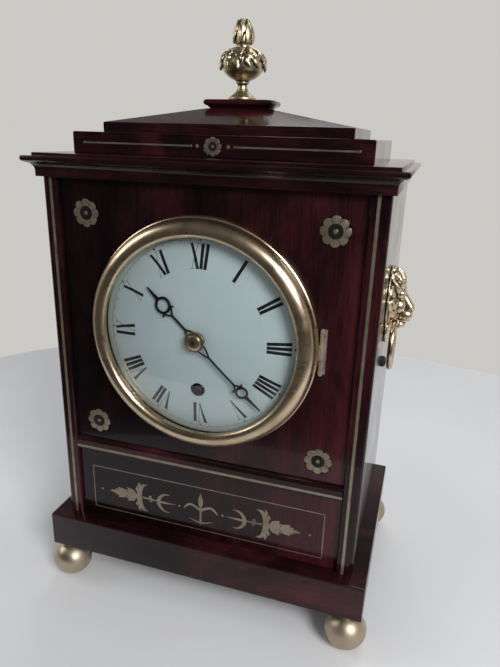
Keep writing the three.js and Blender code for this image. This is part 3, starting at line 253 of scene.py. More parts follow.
def ribbon(shape, path, widths, surface, proud, depth, origin=(0, 0, 0), bevel=0.0, closed=False):
    """A strip along (x, z) points that stands proud of a surface, with a bevel on its upper edges."""
    count = len(path)
    if not hasattr(widths, "__len__"):
        widths = [widths] * count
    ox, oy, oz = origin
    ease = min(bevel, proud * 0.8)
    rows = []
    for i, (x, z) in enumerate(path):
        before = path[(i - 1) % count] if closed or i else path[0]
        after = path[(i + 1) % count] if closed or i + 1 < count else path[-1]
        run = Vector((after[0] - before[0], after[1] - before[1])).normalized()
        side = Vector((run.y, -run.x)) * max(widths[i], THINNEST) / 2
        inner = 1 - min(bevel / side.length, 0.7)
        section = [(-1, depth), (-1, ease - proud), (-inner, -proud)]
        section += [(-share, level) for share, level in reversed(section)]
        y = oy + surface(x, z)
        rows.append([(ox + x + side.x * s, y + level, oz + z + side.y * s) for s, level in section])
    loft(shape, rows, closed)


def disc(shape, x, z, radius, surface, proud, depth, origin=(0, 0, 0), sides=16):
    """A round stud that stands proud of a surface."""
    y = surface(x, z)
    ox, oy, oz = origin
    centre = (ox + x, oy + y, oz + z)
    profile = [(0, depth), (radius, depth), (radius, -proud * 0.5), (radius * 0.9, -proud), (0, -proud)]
    lathe(shape, profile, centre, "y", sides)


def curve(points, per_span=6):
    """A smooth curve through (x, z, width) points."""
    ends = [points[0], *points, points[-1]]
    path, widths = [], []
    for i in range(len(points) - 1):
        a, b, c, d = (Vector(p) for p in ends[i : i + 4])
        for step in range(per_span):
            t = step / per_span
            square = (2 * a - 5 * b + 4 * c - d) * t**2
            p = 0.5 * (2 * b + (c - a) * t + square + (3 * b - a - 3 * c + d) * t**3)
            path.append((p.x, p.y))
            widths.append(p.z)
    path.append(points[-1][:2])
    widths.append(points[-1][2])
    return path, widths


def moulding(shape, levels, chamfer=0.6):
    """A block whose four sides follow a moulding; each level is (height, half width, front, back)."""
    cut, mid = chamfer, chamfer * 0.3
    rows = []
    for z, half, front, back in levels:
        right = [(half - cut, front), (half - mid, front + mid), (half, front + cut)]
        right += [(half, back - cut), (half - mid, back - mid), (half - cut, back)]
        left = [(-x, y) for x, y in reversed(right)]
        rows.append([(x, y, z) for x, y in (left.pop(), *right, *left)])
    loft(shape, rows)


def apply_modifiers(piece):
    """Replaces a piece's mesh by what its modifiers make of it."""
    bpy.context.view_layer.update()
    graph = bpy.context.evaluated_depsgraph_get()
    mesh = bpy.data.meshes.new_from_object(piece.evaluated_get(graph))
    piece.modifiers.clear()
    piece.data = mesh


def carve(piece, *cutters):
    """Cuts the cutters' solids out of a piece, and deletes the cutters."""
    for cutter in cutters:
        change = piece.modifiers.new("carve", "BOOLEAN")
        change.operation = "DIFFERENCE"
        change.solver = "EXACT"
        change.object = cutter
    apply_modifiers(piece)
    for cutter in cutters:
        bpy.data.objects.remove(cutter)


def lump(shape, centre, radii, turn=(0, 0, 0), rows=10):
    """An ellipsoid, turned by Euler angles in degrees."""
    turned_by = Euler([radians(a) for a in turn]).to_matrix()
    around = rows * 2
    points, faces = [], []
    for row in range(rows + 1):
        latitude = pi * (row / rows - 0.5)
        reach = cos(latitude)
        for i in range(1 if row in (0, rows) else around):
            angle = 2 * pi * i / around
            ball = Vector((reach * cos(angle), reach * sin(angle), sin(latitude)))
            points.append(Vector(centre) + turned_by @ Vector([b * r for b, r in zip(ball, radii)]))

    def index(row, i):
        if row == 0:
            return 0
        return 1 + (row - 1) * around + (0 if row == rows else i % around)

    for row in range(rows):
        for i in range(around):
            corners = [index(row, i), index(row, i + 1), index(row + 1, i + 1), index(row + 1, i)]
            faces.append(list(dict.fromkeys(corners)))
    shape.add(points, faces)


def melt(piece, voxel, rounds):
    """Joins overlapping lumps into one skin and softens it."""
    remesh = piece.modifiers.new("melt", "REMESH")
    remesh.mode = "VOXEL"
    remesh.voxel_size = voxel * MM
    soften = piece.modifiers.new("soften", "SMOOTH")
    soften.iterations = rounds
    soften.factor = 0.5
    apply_modifiers(piece)
    mark_hollows(piece.data)
    smooth(piece.data, 180)


def mark_hollows(mesh, reach=0.05, rounds=3):
    """Stores how far each point lies in a hollow, 0 on ridges and 1 in the deepest creases."""
    work = bmesh.new()
    work.from_mesh(mesh)
    work.normal_update()
    work.verts.ensure_lookup_table()
    depth = []
    for vertex in work.verts:
        near = [edge.other_vert(vertex).co for edge in vertex.link_edges]
        mean = sum(near, Vector()) / max(len(near), 1)
        depth.append((mean - vertex.co).dot(vertex.normal) / MM)
    neighbours = [[e.other_vert(v).index for e in v.link_edges] for v in work.verts]
    for _ in range(rounds):
        means = [sum(depth[n] for n in near) / max(len(near), 1) for near in neighbours]
        depth = [0.4 * own + 0.6 * mean for own, mean in zip(depth, means)]
    work.free()
    layer = mesh.attributes.new("hollow", "FLOAT", "POINT")
    values = [min(max(0.5 + d / reach * 0.5, 0), 1) for d in depth]
    layer.data.foreach_set("value", values)


# ---- material tools


def plug(tree, socket, value):
    """Links a socket to another, or sets its value; a colour may leave out its alpha."""
    if isinstance(value, bpy.types.NodeSocket):
        tree.links.new(value, socket)
    elif socket.type == "RGBA" and len(value) == 3:
        socket.default_value = (*value, 1)
    else:
        socket.default_value = value


def feed(tree, node, **inputs):
    """Sets or links inputs of a node, with _ for a space in their names."""
    for key, value in inputs.items():
        plug(tree, node.inputs[key.replace("_", " ")], value)


def put(tree, kind, settings=None, **inputs):
    """A new shader node with its settings and inputs."""
    made = tree.nodes.new("ShaderNode" + kind)
    for key, value in (settings or {}).items():
        setattr(made, key, value)
    feed(tree, made, **inputs)
    return made


def blank(name):
    """A new material with its node tree, its shader and the object's coordinates."""
    made = bpy.data.materials.new(name)
    made.use_nodes = True
    tree = made.node_tree
    return made, tree, tree.nodes["Principled BSDF"], put(tree, "TexCoord").outputs["Object"]


def along(grain, run, cross):
    """Noise scales per axis for a grain: one along it, another across it."""
    return tuple(run if axis == grain else cross for axis in "xyz")


def noise(tree, coords, scales, detail, roughness=0.5, distortion=0.0):
    """Noise over coordinates, with one scale or one for each axis."""
    if not hasattr(scales, "__len__"):
        scales = (scales, scales, scales)
    vector = put(tree, "Mapping", Vector=coords, Scale=scales).outputs["Vector"]
    made = put(tree, "TexNoise", Vector=vector, Scale=1, Detail=detail)
    feed(tree, made, Roughness=roughness, Distortion=distortion)
    return made.outputs["Fac"]


def from_axis(tree, coords, axis):
    """Distance from the line that runs front to back through a place in millimetres."""
    shift = (-axis.x * MM, 0, -axis.z * MM)
    centred = put(tree, "Mapping", Vector=coords, Location=shift, Scale=(1, 0, 1))
    far = put(tree, "VectorMath", {"operation": "LENGTH"}, Vector=centred.outputs["Vector"])
    return far.outputs["Value"]


def ramp(tree, factor, *stops):
    """Colours or grey levels at stops along a factor."""
    made = put(tree, "ValToRGB", Fac=factor)
    band = made.color_ramp
    while len(band.elements) < len(stops):
        band.elements.new(0.5)
    for element, (position, color) in zip(band.elements, stops):
        element.position = position
        element.color = (*color, 1) if hasattr(color, "__len__") else (color, color, color, 1)
    return made.outputs["Color"]


def mix(tree, factor, first, second, kind="MIX"):
    made = put(tree, "Mix", {"data_type": "RGBA", "blend_type": kind})
    for index, value in ((0, factor), (6, first), (7, second)):
        plug(tree, made.inputs[index], value)
    return made.outputs[2]


def math_node(tree, operation, first, second=0.0):
    made = put(tree, "Math", {"operation": operation})
    plug(tree, made.inputs[0], first)
    plug(tree, made.inputs[1], second)
    return made.outputs[0]


def bumped(tree, height, strength, distance):
    made = put(tree, "Bump", Strength=strength, Distance=distance * MM, Height=height)
    return made.outputs["Normal"]


# ---- materials


# Shares of the streaks and of the flames in mahogany's figure; where light is painted across it (redder
# toward +X, the side lit from the right), the flames have less and the whole figure is lifted
STREAK_SHARE = 0.24
FLAME_SHARE = 0.76
PAINTED_LIGHT_FLAME_SHARE = 0.55
PAINTED_LIGHT_LIFT = 0.08
MAHOGANY_TONES = (
    (0.36, (0.0040, 0.0016, 0.0021)),
    (0.50, (0.0120, 0.0033, 0.0043)),
    (0.60, (0.0300, 0.0062, 0.0080)),
    (0.74, (0.0620, 0.0110, 0.0138)),
)


def mahogany(name, grain, painted_light_slope=0.0):
    """French-polished mahogany with its grain along x or z, or "round" along each side of a block.

    The last argument paints light on: how much redder the figure grows per metre toward +X, the side the
    light falls from.
    """
    made, tree, shader, coords = blank(name)
    if grain == "round":
        coords = turned_on_flanks(tree, coords)
        grain = "x"
    streaks = noise(tree, coords, along(grain, 4, 60), 6, 0.6, 0.7)
    pores = noise(tree, coords, along(grain, 40, 1100), 3, 0.6)
    flames = noise(tree, coords, along(grain, 6, 13), 4, 0.55, 1.6)
    streaks = math_node(tree, "MULTIPLY", streaks, STREAK_SHARE)
    flames = math_node(tree, "MULTIPLY", flames, PAINTED_LIGHT_FLAME_SHARE if painted_light_slope else FLAME_SHARE)
    figure = math_node(tree, "ADD", streaks, flames)
    # Painted light: the figure grows redder toward +X, the side lit from the right, and is lifted overall
    if painted_light_slope:
        across = put(tree, "SeparateXYZ", Vector=coords).outputs["X"]
        figure = math_node(tree, "ADD", figure, math_node(tree, "MULTIPLY", across, painted_light_slope))
        figure = math_node(tree, "ADD", figure, PAINTED_LIGHT_LIFT)
    wood = ramp(tree, figure, *MAHOGANY_TONES)
    wood = mix(tree, 1.0, wood, ramp(tree, pores, (0.36, 0.55), (0.52, 1.0)), "MULTIPLY")
    smudges = noise(tree, coords, 26, 4, 0.6)
    polish = ramp(tree, smudges, (0.35, 0.13), (0.75, 0.26))
    grit = bumped(tree, pores, 0.10, 0.06)
    feed(tree, shader, Base_Color=wood, Roughness=polish, Specular_IOR_Level=0.2, Normal=grit)
    feed(tree, shader, Coat_Weight=0.4, Coat_Roughness=0.05, Coat_IOR=1.35)
    return made


def turned_on_flanks(tree, coords):
    """Swaps X and Y on faces that look sideways, so that the grain runs along each side of a block."""
    parts = put(tree, "SeparateXYZ", Vector=coords)
    swapped = put(tree, "CombineXYZ", X=parts.outputs["Y"], Y=parts.outputs["X"], Z=parts.outputs["Z"])
    normal = put(tree, "SeparateXYZ", Vector=put(tree, "TexCoord").outputs["Normal"])
    sideways = math_node(tree, "GREATER_THAN", math_node(tree, "ABSOLUTE", normal.outputs["X"]), 0.7)
    chosen = put(tree, "Mix", {"data_type": "VECTOR"})
    tree.links.new(sideways, chosen.inputs[0])
    tree.links.new(coords, chosen.inputs[4])
    tree.links.new(swapped.outputs["Vector"], chosen.inputs[5])
    return chosen.outputs[1]


def brass(name, color, dark, roughness=0.2, hollows=False, brushed=None):
    """Lacquered brass with toned patches; hollows brings tarnish into the creases of a sculpted piece."""
    made, tree, shader, coords = blank(name)
    patches = noise(tree, coords, 38, 6, 0.62)
    specks = noise(tree, coords, 420, 2)
    tone = mix(tree, ramp(tree, patches, (0.42, 0.0), (0.72, 0.45)), color, dark)
    tone = mix(tree, ramp(tree, specks, (0.66, 0.0), (0.74, 0.5)), tone, dark)
    rough = ramp(tree, patches, (0.3, roughness * 0.8), (0.75, roughness * 1.7))
    if hollows:
        depth = put(tree, "Attribute", {"attribute_name": "hollow"}).outputs["Fac"]
        tarnish = [c * 0.16 for c in dark]
        rubbed = [min(c * 1.18, 1) for c in color]
        tone = mix(tree, ramp(tree, depth, (0.50, 0.0), (0.66, 0.92)), tone, tarnish)
        tone = mix(tree, ramp(tree, depth, (0.30, 0.55), (0.46, 0.0)), tone, rubbed)
    height = patches
    if brushed:
        height = noise(tree, coords, along(brushed, 25, 2600), 2)
        rough = ramp(tree, height, (0.3, roughness * 0.9), (0.7, roughness * 1.3))
    relief = bumped(tree, height, 0.1, 0.05)
    feed(tree, shader, Base_Color=tone, Metallic=1.0, Roughness=rough, Normal=relief)
    return made


def inlay_brass():
    """Old brass let into the wood: dull, and toned brown by polish."""
    made, tree, shader, coords = blank("inlay_brass")
    patches = noise(tree, coords, 70, 6, 0.65)
    scratches = noise(tree, coords, (900, 900, 120), 2)
    bright, toned, brown = (0.34, 0.29, 0.215), (0.25, 0.21, 0.155), (0.12, 0.095, 0.07)
    tone = ramp(tree, patches, (0.30, bright), (0.55, toned), (0.8, brown))
    rough = ramp(tree, scratches, (0.3, 0.30), (0.7, 0.48))
    relief = bumped(tree, scratches, 0.15, 0.03)
    feed(tree, shader, Base_Color=tone, Metallic=0.75, Roughness=rough, Normal=relief)
    return made


def dial_enamel():
    """Cool white paint under varnish, greyer and warmer in patches and towards the rim."""
    made, tree, shader, coords = blank("dial_enamel")
    mottle = noise(tree, coords, 14, 5, 0.6)
    specks = noise(tree, coords, 650, 1)
    share = math_node(tree, "MULTIPLY", from_axis(tree, coords, DIAL), 1 / (DIAL_RADIUS * MM))
    edge = ramp(tree, share, (0.88, 0.0), (0.97, 0.55))
    paint = ramp(tree, mottle, (0.3, (0.365, 0.425, 0.437)), (0.7, (0.425, 0.485, 0.495)))
    paint = mix(tree, edge, paint, (0.34, 0.36, 0.33))
    paint = mix(tree, ramp(tree, specks, (0.72, 0.0), (0.78, 0.35)), paint, (0.22, 0.22, 0.20))
    feed(tree, shader, Base_Color=paint, Roughness=0.32, Coat_Weight=0.25, Coat_Roughness=0.12)
    return made


def ink(name, color, worn):
    """Black paint of the figures, thinned by wear."""
    made, tree, shader, coords = blank(name)
    wear = noise(tree, coords, 240, 4, 0.6)
    tone = mix(tree, ramp(tree, wear, (0.52, 0.0), (0.78, worn)), color, (0.33, 0.37, 0.37))
    feed(tree, shader, Base_Color=tone, Roughness=0.35)
    return made


def dark_metal(name, color, roughness, metallic=0.9):
    made, tree, shader, coords = blank(name)
    patches = noise(tree, coords, 130, 5, 0.6)
    tone = ramp(tree, patches, (0.3, [c * 0.6 for c in color]), (0.7, color))
    rough = ramp(tree, patches, (0.3, roughness * 0.8), (0.7, roughness * 1.4))
    relief = bumped(tree, patches, 0.08, 0.03)
    feed(tree, shader, Base_Color=tone, Metallic=metallic, Roughness=rough, Normal=relief)
    return made


def two_toned(name, low, high, pattern, relief=None, **settings):
    """A dull material between two tones; pattern is what noise takes and relief what bumped takes."""
    made, tree, shader, coords = blank(name)
    figure = noise(tree, coords, *pattern)
    feed(tree, shader, Base_Color=ramp(tree, figure, (0.3, low), (0.7, high)), **settings)
    if relief:
        feed(tree, shader, Normal=bumped(tree, figure, *relief))
    return made


def plain_wood():
    """Unpolished oak or pine, seen only inside the case."""
    low, high = (0.10, 0.055, 0.028), (0.21, 0.125, 0.065)
    pattern = ((6, 220, 220), 5, 0.6, 0.4)
    return two_toned("secondary_wood", low, high, pattern, (0.3, 0.1), Roughness=0.62)


def ebony():
    low, high = (0.005, 0.004, 0.004), (0.018, 0.012, 0.010)
    pattern = ((300, 300, 60), 3)
    return two_toned("ebony", low, high, pattern, Roughness=0.45, Specular_IOR_Level=0.2)


def window_glass():
    """Clear glass: see-through head-on, with reflections that grow towards its edges."""
    made, tree, shader, coords = blank("glass")
    tree.nodes.remove(shader)
    smears = ramp(tree, noise(tree, coords, 30, 3), (0.3, 0.02), (0.8, 0.07))
    through = put(tree, "BsdfTransparent", Color=(0.965, 0.98, 0.975))
    gloss = put(tree, "BsdfAnisotropic", Color=(0.9, 0.9, 0.9), Roughness=smears)
    edge = put(tree, "LayerWeight", Blend=0.05)
    both = put(tree, "MixShader", Fac=edge.outputs["Facing"])
    plug(tree, both.inputs[1], through.outputs[0])
    plug(tree, both.inputs[2], gloss.outputs[0])
    feed(tree, tree.nodes["Material Output"], Surface=both.outputs[0])
    return made


def gut():
    low, high = (0.30, 0.19, 0.08), (0.52, 0.37, 0.19)
    return two_toned("gut", low, high, ((1500, 700, 700), 2), (0.4, 0.1), Roughness=0.55)


def studio_floor():
    low, high = (0.62, 0.625, 0.635), (0.66, 0.665, 0.675)
    return two_toned("studio_floor", low, high, (3, 2), Roughness=0.9, Specular_IOR_Level=0.1)


def wheel_brass(node, arbor_radius):
    """Brushed brass with a steel arbor, which runs front to back through the node's middle."""
    made = brass(node + "_brass", (0.68, 0.52, 0.28), (0.40, 0.27, 0.12), 0.28, brushed="z")
    tree = made.node_tree
    shader = tree.nodes["Principled BSDF"]
    coords = put(tree, "TexCoord").outputs["Object"]
    far = from_axis(tree, coords, middle(node))
    steel = math_node(tree, "LESS_THAN", far, (arbor_radius + 0.05) * MM)
    tone = shader.inputs["Base Color"].links[0].from_socket
    feed(tree, shader, Base_Color=mix(tree, steel, tone, (0.23, 0.235, 0.24)))
    return made


WOOD_X = mahogany("mahogany_rail", "x")
WOOD_Z = mahogany("mahogany_upright", "z")
WOOD_ROUND = mahogany("mahogany_moulding", "round")
# The dial and lower panels get painted light: redder toward the right, where the light falls
WOOD_PANEL = mahogany("mahogany_panel", "z", 0.95)
CASE_BRASS = brass("case_brass", (0.70, 0.55, 0.38), (0.34, 0.23, 0.13), 0.25)
WORN_BRASS = brass("worn_brass", (0.52, 0.43, 0.325), (0.30, 0.22, 0.145), 0.38)
URN_BRASS = brass("urn_brass", (0.56, 0.47, 0.31), (0.24, 0.19, 0.11), 0.31, hollows=True)
HINGE_BRASS = brass("hinge_brass", (0.82, 0.73, 0.62), (0.46, 0.38, 0.30), 0.36)
CAST_BRASS = brass("cast_brass", (0.72, 0.60, 0.43), (0.36, 0.27, 0.17), 0.26, hollows=True)
MOVEMENT_BRASS = brass("movement_brass", (0.70, 0.54, 0.31), (0.46, 0.33, 0.17), 0.30, brushed="z")
INLAY = inlay_brass()
ENAMEL = dial_enamel()
INK = ink("numeral_ink", (0.006, 0.007, 0.009), 0.12)
FAINT_INK = ink("faded_ink", (0.035, 0.040, 0.045), 0.7)
BLUED = dark_metal("blued_steel", (0.012, 0.014, 0.020), 0.34, 0.6)
STEEL = dark_metal("steel", (0.42, 0.42, 0.43), 0.26)
IRON = dark_metal("dark_iron", (0.035, 0.037, 0.034), 0.5, 0.6)
SECONDARY = plain_wood()
EBONY = ebony()
GLASS = window_glass()
GUT = gut()


# ---- placing pieces


def dressed(piece, finish, body, replaces=()):
    """Gives a new piece its material, body and slot, and hides the CAD nodes that it stands for."""
    piece.data.materials.clear()
    piece.data.materials.append(finish)
    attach(piece, body)
    if replaces:
        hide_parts(*replaces)


def finish_node(node, finish, bevel=0.0):
    """Keeps a CAD node, with a material of its own and, on sharp woodwork, eased edges."""
    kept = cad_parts[node]
    for slot in kept.material_slots:
        slot.material = finish
    if bevel:
        weld = kept.modifiers.new("weld", "WELD")
        weld.merge_threshold = 0.005 * MM
        ease = kept.modifiers.new("ease", "BEVEL")
        ease.width = bevel * MM
        ease.segments = 2
        ease.limit_method = "ANGLE"
        ease.angle_limit = radians(40)
        ease.harden_normals = True


# ---- woodwork


def plinth():
    """A block with a small chamfer at its foot and a rounded top edge."""
    low, high = extent("plinth")
    half, front, back = high.x, low.y, high.y
    ease, foot = 1.4, 0.8
    levels = [(low.z, half - foot, front + foot, back - foot / 2), (low.z + foot, half, front, back)]
    for angle in arc_steps(90, 5):
        out = ease * (1 - cos(angle))
        levels.append((high.z - ease + ease * sin(angle), half - out, front + out, back - out * 0.5))
    shape = Shape()
    moulding(shape, levels, 0.7)
    dressed(shape.object("plinth_block"), WOOD_ROUND, "case", ["plinth"])


def cornice():
    """Band, cove, rounded lip and a set-back fillet, mitred round the front and sides."""
    low, high = extent("cornice")
    case_half = extent("side_board_right")[1].x
    band, cove_foot = 3.0, 4.6
    cove_out, cove_rise = 5.8, 6.6
    # Steps are (overhang, rise) from the case's edge and from the band's foot
    outline = [(band, 0.0), (band, cove_foot - 0.2)]
    for angle in arc_steps(78, 12):
        outline.append((band + cove_out * (1 - cos(angle)), cove_foot + cove_rise * sin(angle)))
    outline += [(8.9, 11.6), (10.1, 12.2), (10.7, 12.8), (11.0, 13.7)]
    outline += [(11.0, 15.2), (10.8, 16.0), (10.2, 16.5)]
    outline += [(4.6, 16.6), (4.3, 16.8), (4.3, 18.5), (4.0, 18.9), (3.4, 19.1)]
    levels = [(low.z + rise, case_half + out, STILE_FACE - out, high.y) for out, rise in outline]
    shape = Shape()
    moulding(shape, levels, 0.5)
    dressed(shape.object("cornice_moulding", 25), WOOD_ROUND, "case", ["cornice"])


def cap_plate():
    """A slab with a half-round edge, undercut below it."""
    low, high = extent("cap_plate")
    undercut, edge = 4.6, 2.5
    outline = [(undercut, low.z), (undercut - 0.3, low.z + 0.9), (edge, high.z - 2 * edge)]
    for angle in arc_steps(180, 12, -90):
        outline.append((edge * (1 - cos(angle)), high.z - edge + edge * sin(angle)))
    levels = [(z, high.x - i, low.y + i, high.y - i) for i, z in outline]
    shape = Shape()
    moulding(shape, levels, 2.0)
    dressed(shape.object("cap_slab", 30), WOOD_X, "case", ["cap_plate"])


def crack():
    """A hairline shrinkage crack in the dial panel, over the bezel."""
    panel_top = extent("dial_panel")[1].z
    points = [(-46.0, 388.0), (-45.7, 394.0), (-46.2, 399.0), (-45.9, panel_top - 0.2)]
    shape = Shape()
    ribbon(shape, points, 0.22, flat(PANEL_FACE), 0.02, 0.3)
    dressed(shape.object("panel_hairline"), EBONY, "case")


# ---- brass inlay

PROUD = 0.12
LET_IN = 0.3
# Step in height from one inlaid strip to the next that crosses it
LAYER = 0.004
PETALS = 8


def rosette(name, node, face):
    """A brass flower with round petals, an ebony eye and a brass pip."""
    low, high = extent(node)
    centre = (low + high) / 2
    radius = (high.x - low.x) / 2 + 0.25
    eye = radius * 0.5
    steps = PETALS * 12

    def place(r, angle):
        return centre.x + r * sin(angle), centre.z + r * cos(angle)

    shape = Shape()
    rows = []
    for angle in turns(steps):
        petal = abs(cos(PETALS * angle / 2)) ** 0.55
        outer = radius * (0.80 + 0.20 * petal)
        section = [(eye, LET_IN), (eye, -PROUD), (outer - 0.15, -PROUD), (outer, 0.08 - PROUD)]
        section.append((outer, LET_IN))
        rows.append([(place(r, angle)[0], face + y, place(r, angle)[1]) for r, y in section])
    loft(shape, rows, closed=True)
    disc(shape, centre.x, centre.z, radius * 0.15, flat(face), PROUD + 0.1, LET_IN)
    dressed(shape.object(name, 30), INLAY, "case", [node])
    core = Shape()
    disc(core, centre.x, centre.z, eye + 0.05, flat(face), PROUD - 0.02, LET_IN, sides=32)
    dressed(core.object(name + "_eye"), EBONY, "case")
    cuts = Shape()
    for i in range(PETALS):
        angle = 2 * pi * (i + 0.5) / PETALS
        ends = [place(eye * 1.12, angle), place(radius * 0.78, angle)]
        ribbon(cuts, ends, [0.25, 0.4], flat(face), PROUD + 0.015, LET_IN)
    dressed(cuts.object(name + "_veins"), EBONY, "case")


# Heights over the plinth's top
BUD = 30.8
SCROLL = 29.9
# The panel ornament's right half: each leaf has its axis, whether it has a twin below that axis, and
# (across, above the axis, width) points; a single point is a stud with that radius
ORNAMENT = (
    (BUD, False, (104.1, 0, 1.2)),
    (BUD, False, (85.0, 0, 2.6), (88.0, 0, 3.0), (91.5, 0, 2.6), (95.5, 0, 0.1)),
    (BUD, True, (76.5, 0.2, 1.8), (79.8, 2.0, 4.8), (82.6, 3.2, 4.4), (86.2, 5.6, 0.3)),
    (BUD, True, (80.5, 1.0, 2.4), (84.5, 1.6, 3.0), (89.4, 3.2, 0.3)),
    (BUD, False, (75.5, 0, 2.2), (80.0, 0, 5.4), (84.5, 0, 5.0), (87.5, 0, 1.2)),
    (BUD, True, (66.5, 0.4, 2.0), (69.8, 3.0, 5.2), (72.4, 4.8, 4.4), (75.8, 7.6, 0.3)),
    (BUD, True, (69.5, 1.2, 2.4), (73.5, 2.6, 3.2), (78.0, 4.8, 0.3)),
    (BUD, False, (62.0, 0, 2.6), (68.0, 0, 4.6), (73.5, 0, 5.6), (77.0, 0, 1.8)),
    (BUD, True, (62.9, 0, 5.2), (62.6, 5, 5), (60.9, 10.5, 4.2), (57.8, 14, 2.6), (53.6, 14.8, 0.2)),
    (BUD, True, (63.4, 5.5, 2.6), (65.6, 8.4, 2.4), (64.8, 11.6, 0.3)),
    (BUD, True, (61.8, 10.5, 2.4), (63.2, 13.4, 2.2), (61.6, 16.2, 0.3)),
    (BUD, False, (59.0, 0, 1.6), (50.9, -0.2, 1.2), (43.5, -0.4, 1.6)),
    (BUD, False, (50.9, -0.2, 2.3)),
    (BUD, False, (51.3, 2.1, 1.5)),
    (BUD, False, (50.5, -2.4, 1.5)),
    (SCROLL, True, (42.4, 0, 3.4), (41.6, 3.6, 3.2), (38.6, 7.6, 2.4), (34.8, 9.6, 1.4), (30.3, 9.6, 0.2)),
    (SCROLL, False, (44.0, 0.3, 1.6), (37.0, 0.3, 2.1), (31.0, 0.4, 1.2), (23.7, 0.7, 0.1)),
    (0, False, (20.5, 30.4, 1.15)),
    (0, False, (0.4, 31.2, 2.6), (4.6, 34.4, 2.2), (9.0, 35.4, 2.0), (13, 33, 1.8), (15.7, 28.9, 0.3)),
    (0, False, (0.2, 17.0, 1.4), (4.2, 17.9, 1.5), (10.4, 20.2, 0.2)),
)
# The two halves stand apart by twice this, and the axis between them lies as far to the left
SPREAD = 1.6


def panel_ornament():
    """Scrolled leaf ornament of the lower panel: two halves, and a stem, palm and stud between them."""
    shape = Shape()
    proud = PROUD
    origin = (-SPREAD, 0, PLINTH_TOP)
    surface = flat(LOWER_FACE)
    for axis, twin, *points in ORNAMENT:
        if len(points) == 1:
            x, z, radius = points[0]
            for side in (1, -1):
                disc(shape, side * (x + SPREAD), axis + z, radius, surface, proud, LET_IN, origin)
            continue
        for side in (1, -1):
            for up in (1, -1) if twin else (1,):
                row = [(side * (x + min(x, SPREAD)), axis + up * z, w * 1.08) for x, z, w in points]
                path, widths = curve(row)
                ribbon(shape, path, widths, surface, proud, LET_IN, origin)
                proud += LAYER
    palm = [(0, 33.0, 0.8), (0, 37.5, 4.2), (0, 42.0, 4.8), (0, 46.0, 2.6), (0, 49.6, 0.1)]
    stem = [(0, 33.5, 1.9), (0, 24.0, 1.8), (0, 17.5, 2.0), (0, 15.0, 0.4)]
    for points in (palm, stem):
        proud += LAYER
        path, widths = curve(points)
        ribbon(shape, path, widths, surface, proud, LET_IN, origin)
    disc(shape, 0, 31.6, 2.1, surface, proud + LAYER, LET_IN, origin)
    dressed(shape.object("panel_ornament", 30), INLAY, "case")


def line(shape, start, end, width, surface, origin=(0, 0, 0)):
    ribbon(shape, [start, end], width, surface, PROUD, LET_IN, origin)


def panel_border():
    """The brass line that frames the lower panel."""
    shape = Shape()
    half, bottom, top, width = 116, 8.8, 55.5, 0.8
    origin = (0, 0, PLINTH_TOP)
    surface = flat(LOWER_FACE)
    reach = half + width / 2
    for z in (bottom, top):
        line(shape, (-reach, z), (reach, z), width, surface, origin)
    for x in (-half, half):
        line(shape, (x, bottom), (x, top), width, surface, origin)
    dressed(shape.object("panel_border", 30), INLAY, "case")


def frieze_inlay():
    """A brass line with dots to each side of the frieze's flower."""
    height = middle("rosette_frieze").z
    surface = flat(FRIEZE_FACE)
    shape = Shape()
    for side in (-1, 1):
        line(shape, (side * 18.5, height), (side * 115.5, height), 1.3, surface)
        for x, radius in ((13.2, 1.5), (18.6, 1.1), (116.0, 1.2)):
            disc(shape, side * x, height, radius, surface, PROUD, LET_IN)
    dressed(shape.object("frieze_lines", 30), INLAY, "case")


# ---- feet and finial


def ball_foot(place):
    """A ball with a flat underneath and a short neck, inside the solid's outline."""
    node = "ball_foot_" + place
    low, high = extent(node)
    slimmer, neck = 2, 8.5
    radius = (high.x - low.x) / 2 - slimmer
    rise = (high.z - slimmer) / 2
    ball = arc((0, rise), (radius, rise), -80, 66, 28)
    profile = [(0, 0.0), (ball[0][0], 0.0)] + ball[1:]
    profile += [(neck, high.z - 1.6), (neck - 0.3, high.z - 1.0), (neck + 0.6, high.z), (0, high.z)]
    shape = turned(profile, (middle(node).x, middle(node).y, 0), "z", 72)
    dressed(shape.object("foot_" + place), WORN_BRASS, "case", [node])


# The urn's profile: radius, and height as a share of the finial's
URN_FOOT = (
    (0, 0), (12.2, 0), (12.2, 0.022), (11.6, 0.036), (10.4, 0.040), (9.6, 0.055), (7.6, 0.078),
    (5.6, 0.105), (4.5, 0.14), (4.15, 0.175), (4.3, 0.198), (5.6, 0.205), (6.1, 0.216), (5.6, 0.228),
    (4.9, 0.234),
)
URN_BOWL = (
    (7.2, 0.245), (11.2, 0.275), (14.4, 0.31), (16.8, 0.35), (18.0, 0.39), (18.6, 0.44), (18.2, 0.50),
    (16.2, 0.55), (12.6, 0.59), (8.6, 0.615), (6.0, 0.63), (5.4, 0.66), (5.6, 0.69), (7.0, 0.705),
    (7.0, 0.74), (6.2, 0.90), (3.0, 0.965), (0, 0.985),
)


def finial():
    """A cast urn with leaves round its shoulder, and a leafy bud."""
    low, high = extent("finial")
    axis = (low + high) / 2
    height = high.z - low.z

    def at(radius, angle, share):
        return axis.x + radius * cos(angle), axis.y + radius * sin(angle), low.z + share * height

    profile = [(radius, low.z + share * height) for radius, share in URN_FOOT + URN_BOWL]
    shape = turned(profile, (axis.x, axis.y, 0), "z", 72)
    shoulder_leaves(shape, at, random.Random(5))
    bud_leaves(shape, at)
    piece = shape.object("urn_finial")
    melt(piece, 0.42, 2)
    dressed(piece, URN_BRASS, "case", ["finial"])


# Rows of shoulder leaves from the neck down: count, turn in leaves, then the (share of the finial's
# height, radius) of start, bend and tip
SHOULDER = (
    (9, 0.0, (0.625, 7.6), (0.60, 13.2), (0.540, 17.6)),
    (11, 0.5, (0.585, 14.0), (0.545, 18.2), (0.470, 19.6)),
    (12, 0.0, (0.530, 17.6), (0.470, 19.6), (0.385, 19.9)),
)


